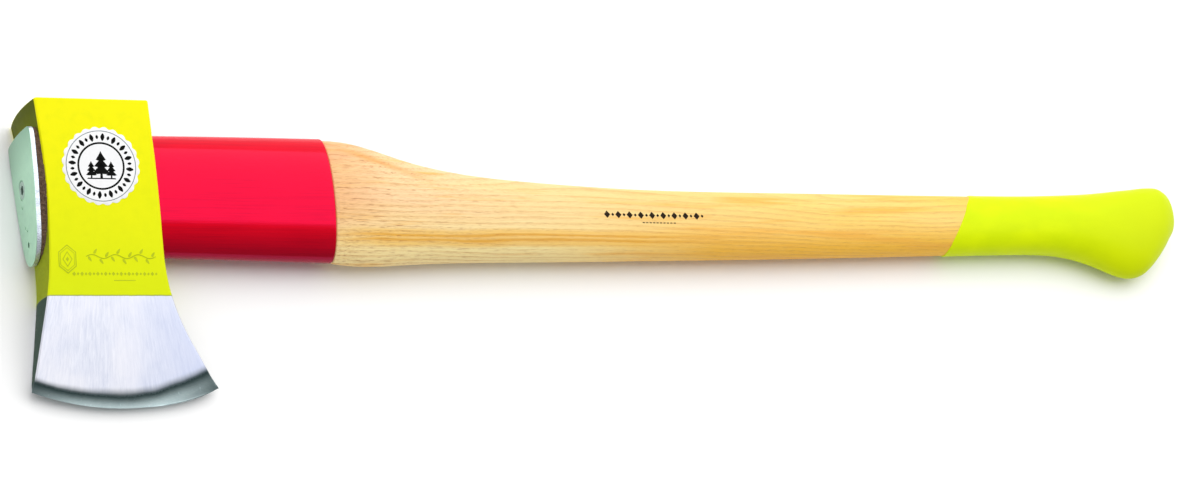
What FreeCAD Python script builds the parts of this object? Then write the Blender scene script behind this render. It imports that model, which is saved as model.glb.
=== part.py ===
# Heavy splitting axe with a steel sleeve on the neck of the handle.
# Design frame while modelling (millimetres):
#   X runs along the handle from the head to the knob,
#   Y points from the cutting edge to the poll,
#   Z is the thickness direction, square to the plane of symmetry.
# The last step turns the finished pieces into the lying rest attitude.
import FreeCAD, Part
import math, os

V = FreeCAD.Vector

# ---------------------------------------------------------------- head
POLL_Y = 50.8            # poll face
POLL_HALF = 25.6         # half thickness at the poll
GRIND_Y = -63.3          # line where paint stops and ground steel starts
GRIND_HALF = 12.6        # half thickness there
BEVEL_Y = -119.3         # start of the honed bevel on the centre line
BEVEL_HALF = 2.5         # half thickness there
EDGE_R = 150.1           # radius of the cutting edge arc
EDGE_CX, EDGE_CY = 52.6, 24.0
EDGE_LAND = 0.12         # half width of the flat on the very edge
BEVEL_TAN = 0.352        # slope of the honed bevel
ROUND_LONG = 1.1         # rounding of the long cheek edges and of the poll rim

# ---------------------------------------------------------------- eye, sleeve, handle
EYE_X0, EYE_X1 = -5.0, 90.0
SLEEVE_WALL = 1.6
SLEEVE_X0, SLEEVE_X1 = 15.0, 187.2
FIT = 0.03               # running gap between nested pieces
# x, centre y, half height, half thickness of the sleeve's outer oval
SLEEVE = [(0.0, 0.4, 36.2, 14.6), (60.0, 0.35, 36.9, 15.1), (100.0, 0.2, 37.5, 15.5),
          (145.0, -0.2, 38.2, 15.8), (200.0, -0.8, 38.8, 16.0)]
# the wood outside the sleeve, from the shoulder to the knob
WOOD = [(187.2, -1.3, 38.2, 15.6), (197.0, -2.1, 38.6, 15.9), (206.0, -2.95, 38.2, 15.9),
        (216.0, -4.2, 36.9, 15.85), (228.0, -5.8, 34.7, 15.8), (242.0, -7.6, 32.0, 15.7),
        (258.0, -9.2, 29.7, 15.5), (280.0, -10.8, 27.5, 15.1), (310.0, -12.1, 25.7, 14.6),
        (350.0, -13.15, 24.1, 14.0), (400.0, -13.7, 22.65, 13.3), (450.0, -13.6, 21.95, 13.0),
        (510.0, -13.0, 21.3, 12.8), (570.0, -12.3, 20.5, 12.65), (620.0, -11.65, 19.8, 12.9),
        (660.0, -11.15, 19.25, 13.3), (685.0, -10.85, 19.3, 13.6), (702.0, -11.05, 20.1, 13.8),
        (716.0, -11.95, 21.7, 14.0), (729.0, -13.5, 24.1, 14.15), (741.0, -15.4, 27.1, 14.3),
        (751.0, -16.6, 29.4, 14.35), (760.0, -16.3, 30.1, 14.2), (768.0, -14.6, 29.2, 13.8),
        (776.0, -11.2, 26.8, 12.9), (784.0, -7.1, 23.2, 11.3), (790.5, -3.7, 19.2, 9.2),
        (795.5, -2.1, 14.8, 6.6), (798.7, -1.9, 9.6, 3.9), (800.1, -2.0, 4.6, 1.7)]

# ---------------------------------------------------------------- dip coat on the grip end
COAT = 0.45              # thickness of the dipped skin
DIP_X, DIP_Y, DIP_SLANT = 626.0, -11.5, 31.0   # dip line through this point, degrees off square

# ---------------------------------------------------------------- plate, bedding, fasteners
PLATE_X = 5.95           # inner face of the plate on the handle axis
PLATE_T = 3.05           # sheet thickness
PLATE_TILT = 2.6         # degrees, follows the end face of the head
PLATE_BEND_R = 130.0     # the sheet is bent about the Y direction to the crown of the head, inner radius
PLATE_TOP, PLATE_TIP = 35.2, -42.0
# y, half width of the shield shape
PLATE_SHIELD = [(21.3, 21.3), (3.6, 19.9), (-13.3, 17.2), (-30.0, 13.4)]
SCREW_Y = 3.2
SCREW_HEAD_D, SCREW_HEAD_H = 11.0, 3.6
SCREW_D, SCREW_L = 5.0, 58.0
SOCKET_AF, SOCKET_DEPTH = 5.0, 2.2
PIN_Y, PIN_D, PIN_L = -29.5, 3.0, 26.0
WEDGE_L, WEDGE_T0, WEDGE_T1, WEDGE_HALF_H = 46.0, 7.2, 2.0, 28.5
RING_RO, RING_WALL, RING_L = 10.0, 2.0, 17.0
TENON_X0 = 11.3          # end of the handle, just under the bedding

# ---------------------------------------------------------------- label
LABEL_X, LABEL_Y, LABEL_D, LABEL_T = 44.0, 11.4, 46.0, 0.25
LABEL_LOBES, LABEL_LOBE = 24, 0.75

# ---------------------------------------------------------------- rest attitude
# The axe lies on its far cheek and on the knob: these two turns bring the plane
# through those three contact points level, the lift puts it at z = 0 and the
# shift puts the origin under the middle of the footprint box.
REST_ROLL = 6.483610     # degrees about X
REST_PITCH = 0.231190    # degrees about Y
REST_LIFT = 19.9951
REST_SHIFT = (-399.8219, 35.9890)


def spline(points):
    c = Part.BSplineCurve()
    c.interpolate([V(*p) for p in points])
    return c.toShape()


def oval(x, cy, a, b):
    e = Part.Ellipse(V(x, cy, 0), a, b)
    e = Part.Ellipse(V(x, cy + a, 0), V(x, cy, b), V(x, cy, 0))
    return Part.Wire([e.toShape()])


def loft(rows, grow=0.0):
    return Part.makeLoft([oval(x, cy, a + grow, b + grow) for x, cy, a, b in rows], True, False)


def lerp_row(rows, x):
    for r0, r1 in zip(rows, rows[1:]):
        if r0[0] <= x <= r1[0]:
            t = (x - r0[0]) / (r1[0] - r0[0])
            return (x,) + tuple(p + (q - p) * t for p, q in zip(r0[1:], r1[1:]))
    return rows[-1]


def cyl_x(x0, length, r, y=0.0, z=0.0):
    return Part.makeCylinder(r, length, V(x0, y, z), V(1, 0, 0))


# ================================================================ head
# outline of the head in side view: y, x of the left edge, bulge of the left end face at mid thickness
LEFT = [(56.0, 5.9, 2.3), (50.8, 6.6, 2.4), (38.0, 8.1, 2.5), (25.0, 9.6, 2.6), (13.1, 10.6, 2.8), (0.0, 11.4, 3.1),
        (-14.5, 11.8, 3.4), (-33.0, 11.7, 3.6), (-48.0, 11.0, 3.2), (-62.0, 9.3, 1.7), (-75.0, 7.0, 0.8),
        (-87.8, 4.6, 0.4), (-110.3, 0.3, 0.15), (-126.0, -2.6, 0.1), (-136.0, -4.5, 0.1)]
RIGHT = [(118.5, -126.0), (109.2, -115.2), (102.8, -106.4), (97.1, -96.2), (89.8, -82.6), (83.4, -66.5), (80.5, -54.0),
         (79.0, -40.0), (78.2, -13.7), (76.9, 13.7), (75.7, 30.7), (75.2, 38.0)]


def half_at_y(y):
    if y >= GRIND_Y:
        return POLL_HALF + (POLL_HALF - GRIND_HALF) / (POLL_Y - GRIND_Y) * (y - POLL_Y)
    return max(GRIND_HALF + (BEVEL_HALF - GRIND_HALF) / (BEVEL_Y - GRIND_Y) * (y - GRIND_Y), 1.0)


def crowned_section(y, xl, c):
    # closed wire in the plane y: the left side is an arc through the two cheek edges
    h = half_at_y(y)
    r = (h * h + c * c) / (2 * c)
    z = h + 2.5
    xc = xl - c + r
    xa = xc - math.sqrt(r * r - z * z)
    arc = Part.Arc(V(xa, y, -z), V(xl - c, y, 0), V(xa, y, z)).toShape()
    return Part.Wire([arc, Part.makeLine(V(xa, y, z), V(140, y, z)), Part.makeLine(V(140, y, z), V(140, y, -z)),
                      Part.makeLine(V(140, y, -z), V(xa, y, -z))])


def make_head():
    line = lambda p, q: Part.makeLine(V(*p), V(*q))
    right = spline([(x, y, -40) for x, y in RIGHT])
    outline = Part.Wire([
        line((-30.0, 56.0, -40), (-30.0, -126.0, -40)), line((-30.0, -126.0, -40), (118.5, -126.0, -40)), right,
        line((75.2, 38.0, -40), (73.6, 56.0, -40)), line((73.6, 56.0, -40), (-30.0, 56.0, -40))])
    slab = Part.Face(outline).extrude(V(0, 0, 80))
    crowned = Part.makeLoft([crowned_section(*row) for row in LEFT], True, False)
    slab = slab.common(crowned)

    x0 = -30.0
    slope = (BEVEL_HALF - GRIND_HALF) / (GRIND_Y - BEVEL_Y)
    tip_y = -134.0
    tip_half = max(BEVEL_HALF + slope * (BEVEL_Y - tip_y), 0.05)
    poll = line((x0, POLL_Y, -POLL_HALF), (x0, POLL_Y, POLL_HALF))
    pts = [(POLL_Y, POLL_HALF), (GRIND_Y, GRIND_HALF), (tip_y, tip_half), (tip_y, -tip_half),
           (GRIND_Y, -GRIND_HALF), (POLL_Y, -POLL_HALF)]
    edges = [poll] + [line((x0, a[0], a[1]), (x0, b[0], b[1])) for a, b in zip(pts, pts[1:])]
    wedge = Part.Face(Part.Wire(edges)).extrude(V(170, 0, 0))

    top = 30.0
    r_top = EDGE_R - (top - EDGE_LAND) / BEVEL_TAN
    prof = [(0, -top), (r_top, -top), (EDGE_R, -EDGE_LAND), (EDGE_R, EDGE_LAND), (r_top, top), (0, top), (0, -top)]
    face = Part.Face(Part.makePolygon([V(EDGE_CX + r, EDGE_CY, z) for r, z in prof]))
    disc = face.revolve(V(EDGE_CX, EDGE_CY, 0), V(0, 0, 1), 360)

    head = slab.common(wedge).common(disc).removeSplitter()
    if head.ShapeType != "Solid":
        head = head.Solids[0]

    # rounding of the long cheek edges and the rim of the poll
    rim = []
    for e in head.Edges:
        bb = e.BoundBox
        on_side = bb.XLength < 14 and bb.YMin > GRIND_Y - 0.5
        if (bb.YMin > POLL_Y - 0.6) or (on_side and bb.YLength > 8):
            rim.append(e)
    head = head.makeFillet(ROUND_LONG, rim)
    eye = loft([lerp_row(SLEEVE, 0.0)[:1] + lerp_row(SLEEVE, 0.0)[1:], lerp_row(SLEEVE, 60.0), lerp_row(SLEEVE, 100.0)], FIT)
    head = head.cut(eye)
    return head


def plate_wire(inset=0.0, x=0.0):
    # shield shape: flat top with rounded corners, curved flanks, round tip
    i = inset
    top, tip = PLATE_TOP - i, PLATE_TIP + i
    side = [(top - 1.9, 21.1 - i), (top - 5.0, 21.6 - i)] + [(y, w - i) for y, w in PLATE_SHIELD] + [
        (-37.4, 9.2 - i * 0.8), (tip + 1.0, 4.6 - i * 0.4)]
    corner = [(top, 19.2 - i), (top - 0.6, 20.4 - i)]
    pts = corner[1:] + side + [(tip, 0.0)] + [(y, -w) for y, w in reversed(corner[1:] + side)]
    c = Part.BSplineCurve()
    c.interpolate([V(x, top, corner[0][1])] + [V(x, y, w) for y, w in pts] + [V(x, top, -corner[0][1])])
    return Part.Wire([Part.makeLine(V(x, top, -corner[0][1]), V(x, top, corner[0][1])), c.toShape()])


def bent(inset, d0, d1):
    # shield prism between two coaxial cylinders, d0 and d1 outside the inner face of the plate
    p = Part.Face(plate_wire(inset, -20.0)).extrude(V(60, 0, 0))
    r = PLATE_BEND_R
    p = p.common(Part.makeCylinder(r + d1, 200, V(r, -100, 0), V(0, 1, 0)))
    if d0 is not None:
        p = p.cut(Part.makeCylinder(r + d0, 200, V(r, -100, 0), V(0, 1, 0)))
        p = p.common(Part.makeBox(60, 200, 200, V(-20, -100, -100)))
    return p


def on_seat(shape):
    # local frame: inner face of the plate at x = 0, outward is -x
    s = shape.copy()
    s.rotate(V(0, 0, 0), V(0, 0, 1), PLATE_TILT)
    s.translate(V(PLATE_X, 0, 0))
    return s


head = make_head()

# ================================================================ plate set (local frame, outer side towards -X)
plate = bent(0.0, 0.0, PLATE_T)
rim = [e for e in plate.Edges if e.BoundBox.XMax < -PLATE_T + 2.2 and
       all(abs(math.hypot(v.X - PLATE_BEND_R, v.Z) - PLATE_BEND_R - PLATE_T) < 0.01 for v in e.Vertexes)]
plate = plate.makeFillet(0.35, rim)
outer_x = -PLATE_T + 0.12
cone_r = SCREW_HEAD_D / 2
csk = Part.makeCone(cone_r, SCREW_D / 2 + FIT, SCREW_HEAD_H - 0.6, V(outer_x + 0.6, SCREW_Y, 0), V(1, 0, 0)).fuse(
    cyl_x(outer_x - 3, 3.6, cone_r, SCREW_Y))
hole = cyl_x(-10, 30, SCREW_D / 2 + FIT, SCREW_Y)
pin_hole = cyl_x(-10, 60, PIN_D / 2 + FIT, PIN_Y)
plate = plate.cut(csk).cut(hole).cut(pin_hole)

bedding = bent(0.5, None, -FIT).common(Part.makeBox(12, 200, 200, V(-2, -100, -100))).cut(hole).cut(pin_hole)

screw = Part.makeCone(cone_r - 0.02, SCREW_D / 2 - 0.0, SCREW_HEAD_H - 0.6, V(outer_x + 0.6, SCREW_Y, 0), V(1, 0, 0)).fuse(
    cyl_x(outer_x, 0.6, cone_r - 0.02, SCREW_Y)).fuse(
    cyl_x(outer_x + SCREW_HEAD_H - 0.6, SCREW_L - SCREW_HEAD_H, SCREW_D / 2, SCREW_Y)).fuse(
    Part.makeCone(SCREW_D / 2, 0.6, 5.0, V(outer_x + SCREW_L - 0.6, SCREW_Y, 0), V(1, 0, 0))).removeSplitter()
hexr = SOCKET_AF / 2 / math.cos(math.pi / 6)
hexw = Part.makePolygon([V(outer_x - 1, SCREW_Y + hexr * math.cos(math.pi / 3 * k), hexr * math.sin(math.pi / 3 * k))
                         for k in range(7)])
screw = screw.cut(Part.Face(hexw).extrude(V(1 + SOCKET_DEPTH, 0, 0)))
pin = cyl_x(outer_x + 0.35, PIN_L, PIN_D / 2, PIN_Y)

plate, bedding, screw, pin = [on_seat(s) for s in (plate, bedding, screw, pin)]

# ================================================================ sleeve: oval steel tube, inside the eye and along the neck
s_rows = [lerp_row(SLEEVE, SLEEVE_X0), lerp_row(SLEEVE, 60.0), lerp_row(SLEEVE, 100.0), lerp_row(SLEEVE, 145.0),
          lerp_row(SLEEVE, SLEEVE_X1)]
ext_rows = [lerp_row(SLEEVE, 0.0)] + s_rows[1:-1] + [lerp_row(SLEEVE, 200.0)]
tube_out = loft(ext_rows)
tube_in = loft(ext_rows, -SLEEVE_WALL)
clip = Part.makeBox(SLEEVE_X1 - SLEEVE_X0, 200, 200, V(SLEEVE_X0, -100, -100))
sleeve = tube_out.common(clip).cut(tube_in)

# ================================================================ handle
shaft = loft(WOOD)
tenon_clip = Part.makeBox(SLEEVE_X1 - TENON_X0 + 0.01, 200, 200, V(TENON_X0, -100, -100))
tenon = loft(ext_rows, -SLEEVE_WALL - FIT).common(tenon_clip)
handle = tenon.fuse(shaft).removeSplitter()

# kerf, wooden wedge, ring wedge, screw and pin holes in the end of the handle
wp = [(TENON_X0, WEDGE_T0 / 2), (TENON_X0 + WEDGE_L, WEDGE_T1 / 2)]


def wedge_solid(g):
    pts = [V(wp[0][0], -WEDGE_HALF_H - g, -wp[0][1] - g), V(wp[1][0] + g, -WEDGE_HALF_H - g, -wp[1][1] - g),
           V(wp[1][0] + g, -WEDGE_HALF_H - g, wp[1][1] + g), V(wp[0][0], -WEDGE_HALF_H - g, wp[0][1] + g)]
    return Part.Face(Part.makePolygon(pts + pts[:1])).extrude(V(0, 2 * (WEDGE_HALF_H + g), 0))


ring = Part.makeCone(RING_RO, RING_RO - 0.9, RING_L, V(TENON_X0, SCREW_Y, 0), V(1, 0, 0)).cut(
    cyl_x(TENON_X0 - 1, RING_L + 2, RING_RO - RING_WALL, SCREW_Y))
ring_gap = Part.makeCone(RING_RO + FIT, RING_RO - 0.9 + FIT, RING_L + FIT, V(TENON_X0, SCREW_Y, 0), V(1, 0, 0)).cut(
    cyl_x(TENON_X0 - 1, RING_L + 2, RING_RO - RING_WALL - FIT, SCREW_Y))
screw_gap = on_seat(cyl_x(-10, SCREW_L + 15, SCREW_D / 2 + FIT, SCREW_Y))
pin_gap = on_seat(cyl_x(-10, 45, PIN_D / 2 + FIT, PIN_Y))
wedge = wedge_solid(0.0).cut(ring_gap).cut(screw_gap).cut(pin_gap)
handle = handle.cut(wedge_solid(FIT)).cut(ring_gap).cut(screw_gap).cut(pin_gap)

# bedding fills the room between the plate and the end of the head, sleeve, handle and wedges
fill = Part.makeBox(60, 200, 200, V(TENON_X0 - 0.03, -100, -100))
bedding = bedding.cut(head).cut(fill)

# ================================================================ dip coat over the knob and grip
big = loft(WOOD, COAT)
cap = Part.makeLoft([oval(799.6, -2.0, 6.2, 2.9), oval(800.7, -2.0, 3.2, 1.2)], True, True)
half_space = Part.makeBox(400, 400, 400, V(0, -200, -200))
half_space.rotate(V(0, 0, 0), V(0, 0, 1), -DIP_SLANT)
half_space.translate(V(DIP_X, DIP_Y, 0))
coat = big.fuse(cap).cut(shaft).common(half_space)

# ================================================================ label on the near cheek
cheek_deg = math.degrees(math.atan2(POLL_HALF - GRIND_HALF, POLL_Y - GRIND_Y))
half_at = POLL_HALF + (POLL_HALF - GRIND_HALF) / (POLL_Y - GRIND_Y) * (LABEL_Y - POLL_Y)
n = LABEL_LOBES * 8
rim = []
for k in range(n):
    t = 2 * math.pi * k / n
    r = LABEL_D / 2 - LABEL_LOBE * (0.5 - 0.5 * math.cos(LABEL_LOBES * t))
    rim.append(V(r * math.cos(t), r * math.sin(t), 0.01))
c = Part.BSplineCurve()
c.interpolate(rim, True)
label = Part.Face(Part.Wire([c.toShape()])).extrude(V(0, 0, LABEL_T))
label.rotate(V(0, 0, 0), V(1, 0, 0), cheek_deg)
label.translate(V(LABEL_X, LABEL_Y, half_at))

NODES = {
    "axe_head": head, "protective_sleeve": sleeve, "handle": handle, "wooden_wedge": wedge, "ring_wedge": ring,
    "plate_bedding": bedding, "safety_plate": plate, "plate_screw": screw, "locking_pin": pin,
    "grip_dip_coat": coat, "round_label": label,
}

os.makedirs("parts", exist_ok=True)
for name, shape in NODES.items():
    s = shape.copy()
    s.rotate(V(0, 0, 0), V(1, 0, 0), REST_ROLL)
    s.rotate(V(0, 0, 0), V(0, 1, 0), REST_PITCH)
    s.translate(V(REST_SHIFT[0], REST_SHIFT[1], REST_LIFT))
    sol = s.Solids
    print("%-18s solids %d valid %s volume %.1f mm3" % (name, len(sol), s.isValid(), s.Volume))
    out = sol[0] if len(sol) == 1 else Part.makeCompound(sol)
    out.exportStep("parts/%s.step" % name)
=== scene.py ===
import bpy, bmesh, math, random
import numpy as np
from mathutils import Matrix, Vector, noise


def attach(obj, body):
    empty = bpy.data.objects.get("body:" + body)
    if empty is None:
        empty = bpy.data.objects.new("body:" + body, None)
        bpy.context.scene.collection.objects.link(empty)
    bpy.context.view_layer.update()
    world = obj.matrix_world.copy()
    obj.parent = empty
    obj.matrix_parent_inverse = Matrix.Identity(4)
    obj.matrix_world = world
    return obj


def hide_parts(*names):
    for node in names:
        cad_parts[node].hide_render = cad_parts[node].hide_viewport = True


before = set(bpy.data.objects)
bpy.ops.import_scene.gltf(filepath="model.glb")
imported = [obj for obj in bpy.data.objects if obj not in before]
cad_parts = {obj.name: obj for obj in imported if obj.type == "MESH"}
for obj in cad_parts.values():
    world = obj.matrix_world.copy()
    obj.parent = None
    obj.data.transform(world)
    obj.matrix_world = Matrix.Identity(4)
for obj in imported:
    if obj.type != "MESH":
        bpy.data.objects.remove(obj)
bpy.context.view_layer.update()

# ------------------------------------------------------------------ the design frame of the axe
# Pieces are built in millimetres in the design frame (X handle axis, Y poll, Z thickness) and then put into
# the row frame by the rest attitude of the CAD model.
ROLL, PITCH = math.radians(6.483610), math.radians(0.231190)
PLACE = (Matrix.Translation(Vector((-399.8219, 35.9890, 19.9951)) * 0.001)
         @ Matrix.Rotation(PITCH, 4, 'Y') @ Matrix.Rotation(ROLL, 4, 'X') @ Matrix.Scale(0.001, 4))
UNPLACE = PLACE.inverted()

POLL_Y, POLL_HALF = 50.8, 25.6
GRIND_Y, GRIND_HALF = -63.3, 12.6
BEVEL_Y, BEVEL_HALF = -119.3, 2.5
EDGE_R, EDGE_CX, EDGE_CY, EDGE_LAND, BEVEL_TAN = 150.1, 52.6, 24.0, 0.12, 0.352
SLEEVE_WALL, SLEEVE_X0, SLEEVE_X1 = 1.6, 15.0, 187.2
SLEEVE = [(0.0, 0.4, 36.2, 14.6), (60.0, 0.35, 36.9, 15.1), (100.0, 0.2, 37.5, 15.5),
          (145.0, -0.2, 38.2, 15.8), (200.0, -0.8, 38.8, 16.0)]
WOOD = [(187.2, -1.3, 38.2, 15.6), (197.0, -2.1, 38.6, 15.9), (206.0, -2.95, 38.2, 15.9),
        (216.0, -4.2, 36.9, 15.85), (228.0, -5.8, 34.7, 15.8), (242.0, -7.6, 32.0, 15.7),
        (258.0, -9.2, 29.7, 15.5), (280.0, -10.8, 27.5, 15.1), (310.0, -12.1, 25.7, 14.6),
        (350.0, -13.15, 24.1, 14.0), (400.0, -13.7, 22.65, 13.3), (450.0, -13.6, 21.95, 13.0),
        (510.0, -13.0, 21.3, 12.8), (570.0, -12.3, 20.5, 12.65), (620.0, -11.65, 19.8, 12.9),
        (660.0, -11.15, 19.25, 13.3), (685.0, -10.85, 19.3, 13.6), (702.0, -11.05, 20.1, 13.8),
        (716.0, -11.95, 21.7, 14.0), (729.0, -13.5, 24.1, 14.15), (741.0, -15.4, 27.1, 14.3),
        (751.0, -16.6, 29.4, 14.35), (760.0, -16.3, 30.1, 14.2), (768.0, -14.6, 29.2, 13.8),
        (776.0, -11.2, 26.8, 12.9), (784.0, -7.1, 23.2, 11.3), (790.5, -3.7, 19.2, 9.2),
        (795.5, -2.1, 14.8, 6.6), (798.7, -1.9, 9.6, 3.9), (800.1, -2.0, 4.6, 1.7)]
DIP_X, DIP_Y, DIP_SLANT = 626.0, -11.5, 31.0
PLATE_X, PLATE_T, PLATE_TILT, PLATE_BEND_R = 5.95, 3.05, 2.6, 130.0
PLATE_TOP, PLATE_TIP = 35.2, -42.0
SCREW_Y, PIN_Y = 3.2, -29.5
LABEL_X, LABEL_Y, LABEL_D = 44.0, 11.4, 46.0
CHEEK = math.atan2(POLL_HALF - GRIND_HALF, POLL_Y - GRIND_Y)


# ------------------------------------------------------------------ small tools
def pchip(xs, ys):
    """Monotone cubic through the points, as a function."""
    xs, ys = np.array(xs, float), np.array(ys, float)
    h = np.diff(xs); d = np.diff(ys) / h
    m = np.zeros_like(ys)
    m[0], m[-1] = d[0], d[-1]
    for i in range(1, len(xs) - 1):
        if d[i - 1] * d[i] > 0:
            w1, w2 = 2 * h[i] + h[i - 1], h[i] + 2 * h[i - 1]
            m[i] = (w1 + w2) / (w1 / d[i - 1] + w2 / d[i])

    def f(x):
        x = np.clip(x, xs[0], xs[-1])
        i = np.clip(np.searchsorted(xs, x) - 1, 0, len(xs) - 2)
        t = (x - xs[i]) / h[i]
        return ((1 + 2 * t) * (1 - t) ** 2 * ys[i] + t * (1 - t) ** 2 * h[i] * m[i]
                + t * t * (3 - 2 * t) * ys[i + 1] + t * t * (t - 1) * h[i] * m[i + 1])
    return f


def spline3(xs, ys):
    """Natural cubic spline, as a function."""
    xs, ys = np.array(xs, float), np.array(ys, float)
    n = len(xs); h = np.diff(xs)
    A = np.eye(n); b = np.zeros(n)
    for i in range(1, n - 1):
        A[i, i - 1], A[i, i], A[i, i + 1] = h[i - 1], 2 * (h[i - 1] + h[i]), h[i]
        b[i] = 6 * ((ys[i + 1] - ys[i]) / h[i] - (ys[i] - ys[i - 1]) / h[i - 1])
    m = np.linalg.solve(A, b)

    def f(x):
        x = np.clip(x, xs[0], xs[-1])
        i = int(np.clip(np.searchsorted(xs, x) - 1, 0, n - 2))
        t0, t1 = xs[i + 1] - x, x - xs[i]
        return ((m[i] * t0 ** 3 + m[i + 1] * t1 ** 3) / (6 * h[i])
                + (ys[i] / h[i] - m[i] * h[i] / 6) * t0 + (ys[i + 1] / h[i] - m[i + 1] * h[i] / 6) * t1)
    return f


def smooth(t):
    t = min(max(t, 0.0), 1.0)
    return t * t * (3 - 2 * t)


def mesh_piece(name, verts, faces, mats, face_mats=None, body="root", smooth_shade=True, sharp_deg=None, local=True):
    me = bpy.data.meshes.new(name)
    me.from_pydata([tuple(v) for v in verts], [], [tuple(f) for f in faces])
    if local:
        me.transform(PLACE)
    for m in mats:
        me.materials.append(m)
    if face_mats is not None:
        me.polygons.foreach_set("material_index", list(face_mats))
    ob = bpy.data.objects.new(name, me)
    bpy.context.scene.collection.objects.link(ob)
    bm = bmesh.new(); bm.from_mesh(me)
    bmesh.ops.remove_doubles(bm, verts=bm.verts, dist=2e-7)
    bmesh.ops.recalc_face_normals(bm, faces=bm.faces)
    for f in bm.faces:
        f.smooth = smooth_shade
    if sharp_deg is not None:
        for e in bm.edges:
            if len(e.link_faces) == 2 and e.calc_face_angle(0) > math.radians(sharp_deg):
                e.smooth = False
    bm.to_mesh(me); bm.free()
    me.update()
    return ob


def finish_piece(ob, node=None):
    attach(ob, "root")
    if node:
        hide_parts(node)
    return ob


def boolean(ob, cutter, op='DIFFERENCE'):
    m = ob.modifiers.new("cut", 'BOOLEAN')
    m.operation = op; m.solver = 'EXACT'; m.object = cutter
    dg = bpy.context.evaluated_depsgraph_get()
    me = bpy.data.meshes.new_from_object(ob.evaluated_get(dg))
    ob.modifiers.remove(m)
    old = ob.data
    ob.data = me
    bpy.data.meshes.remove(old)
    bpy.data.objects.remove(cutter)
    return ob


def rings(name, ring_list, closed_start=True, closed_end=True, mats=(), **kw):
    """Skin through rings of equal point count."""
    n = len(ring_list[0]); V = []; F = []
    for r in ring_list:
        V.extend(r)
    for k in range(len(ring_list) - 1):
        a, b = k * n, (k + 1) * n
        for i in range(n):
            j = (i + 1) % n
            F.append((a + i, a + j, b + j, b + i))
    if closed_start:
        c = np.mean(np.array(ring_list[0], float), 0); V.append(tuple(c)); ci = len(V) - 1
        F.extend([(ci, (i + 1) % n, i) for i in range(n)])
    if closed_end:
        c = np.mean(np.array(ring_list[-1], float), 0); V.append(tuple(c)); ci = len(V) - 1
        o = (len(ring_list) - 1) * n
        F.extend([(ci, o + i, o + (i + 1) % n) for i in range(n)])
    return mesh_piece(name, V, F, list(mats), **kw)


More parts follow.
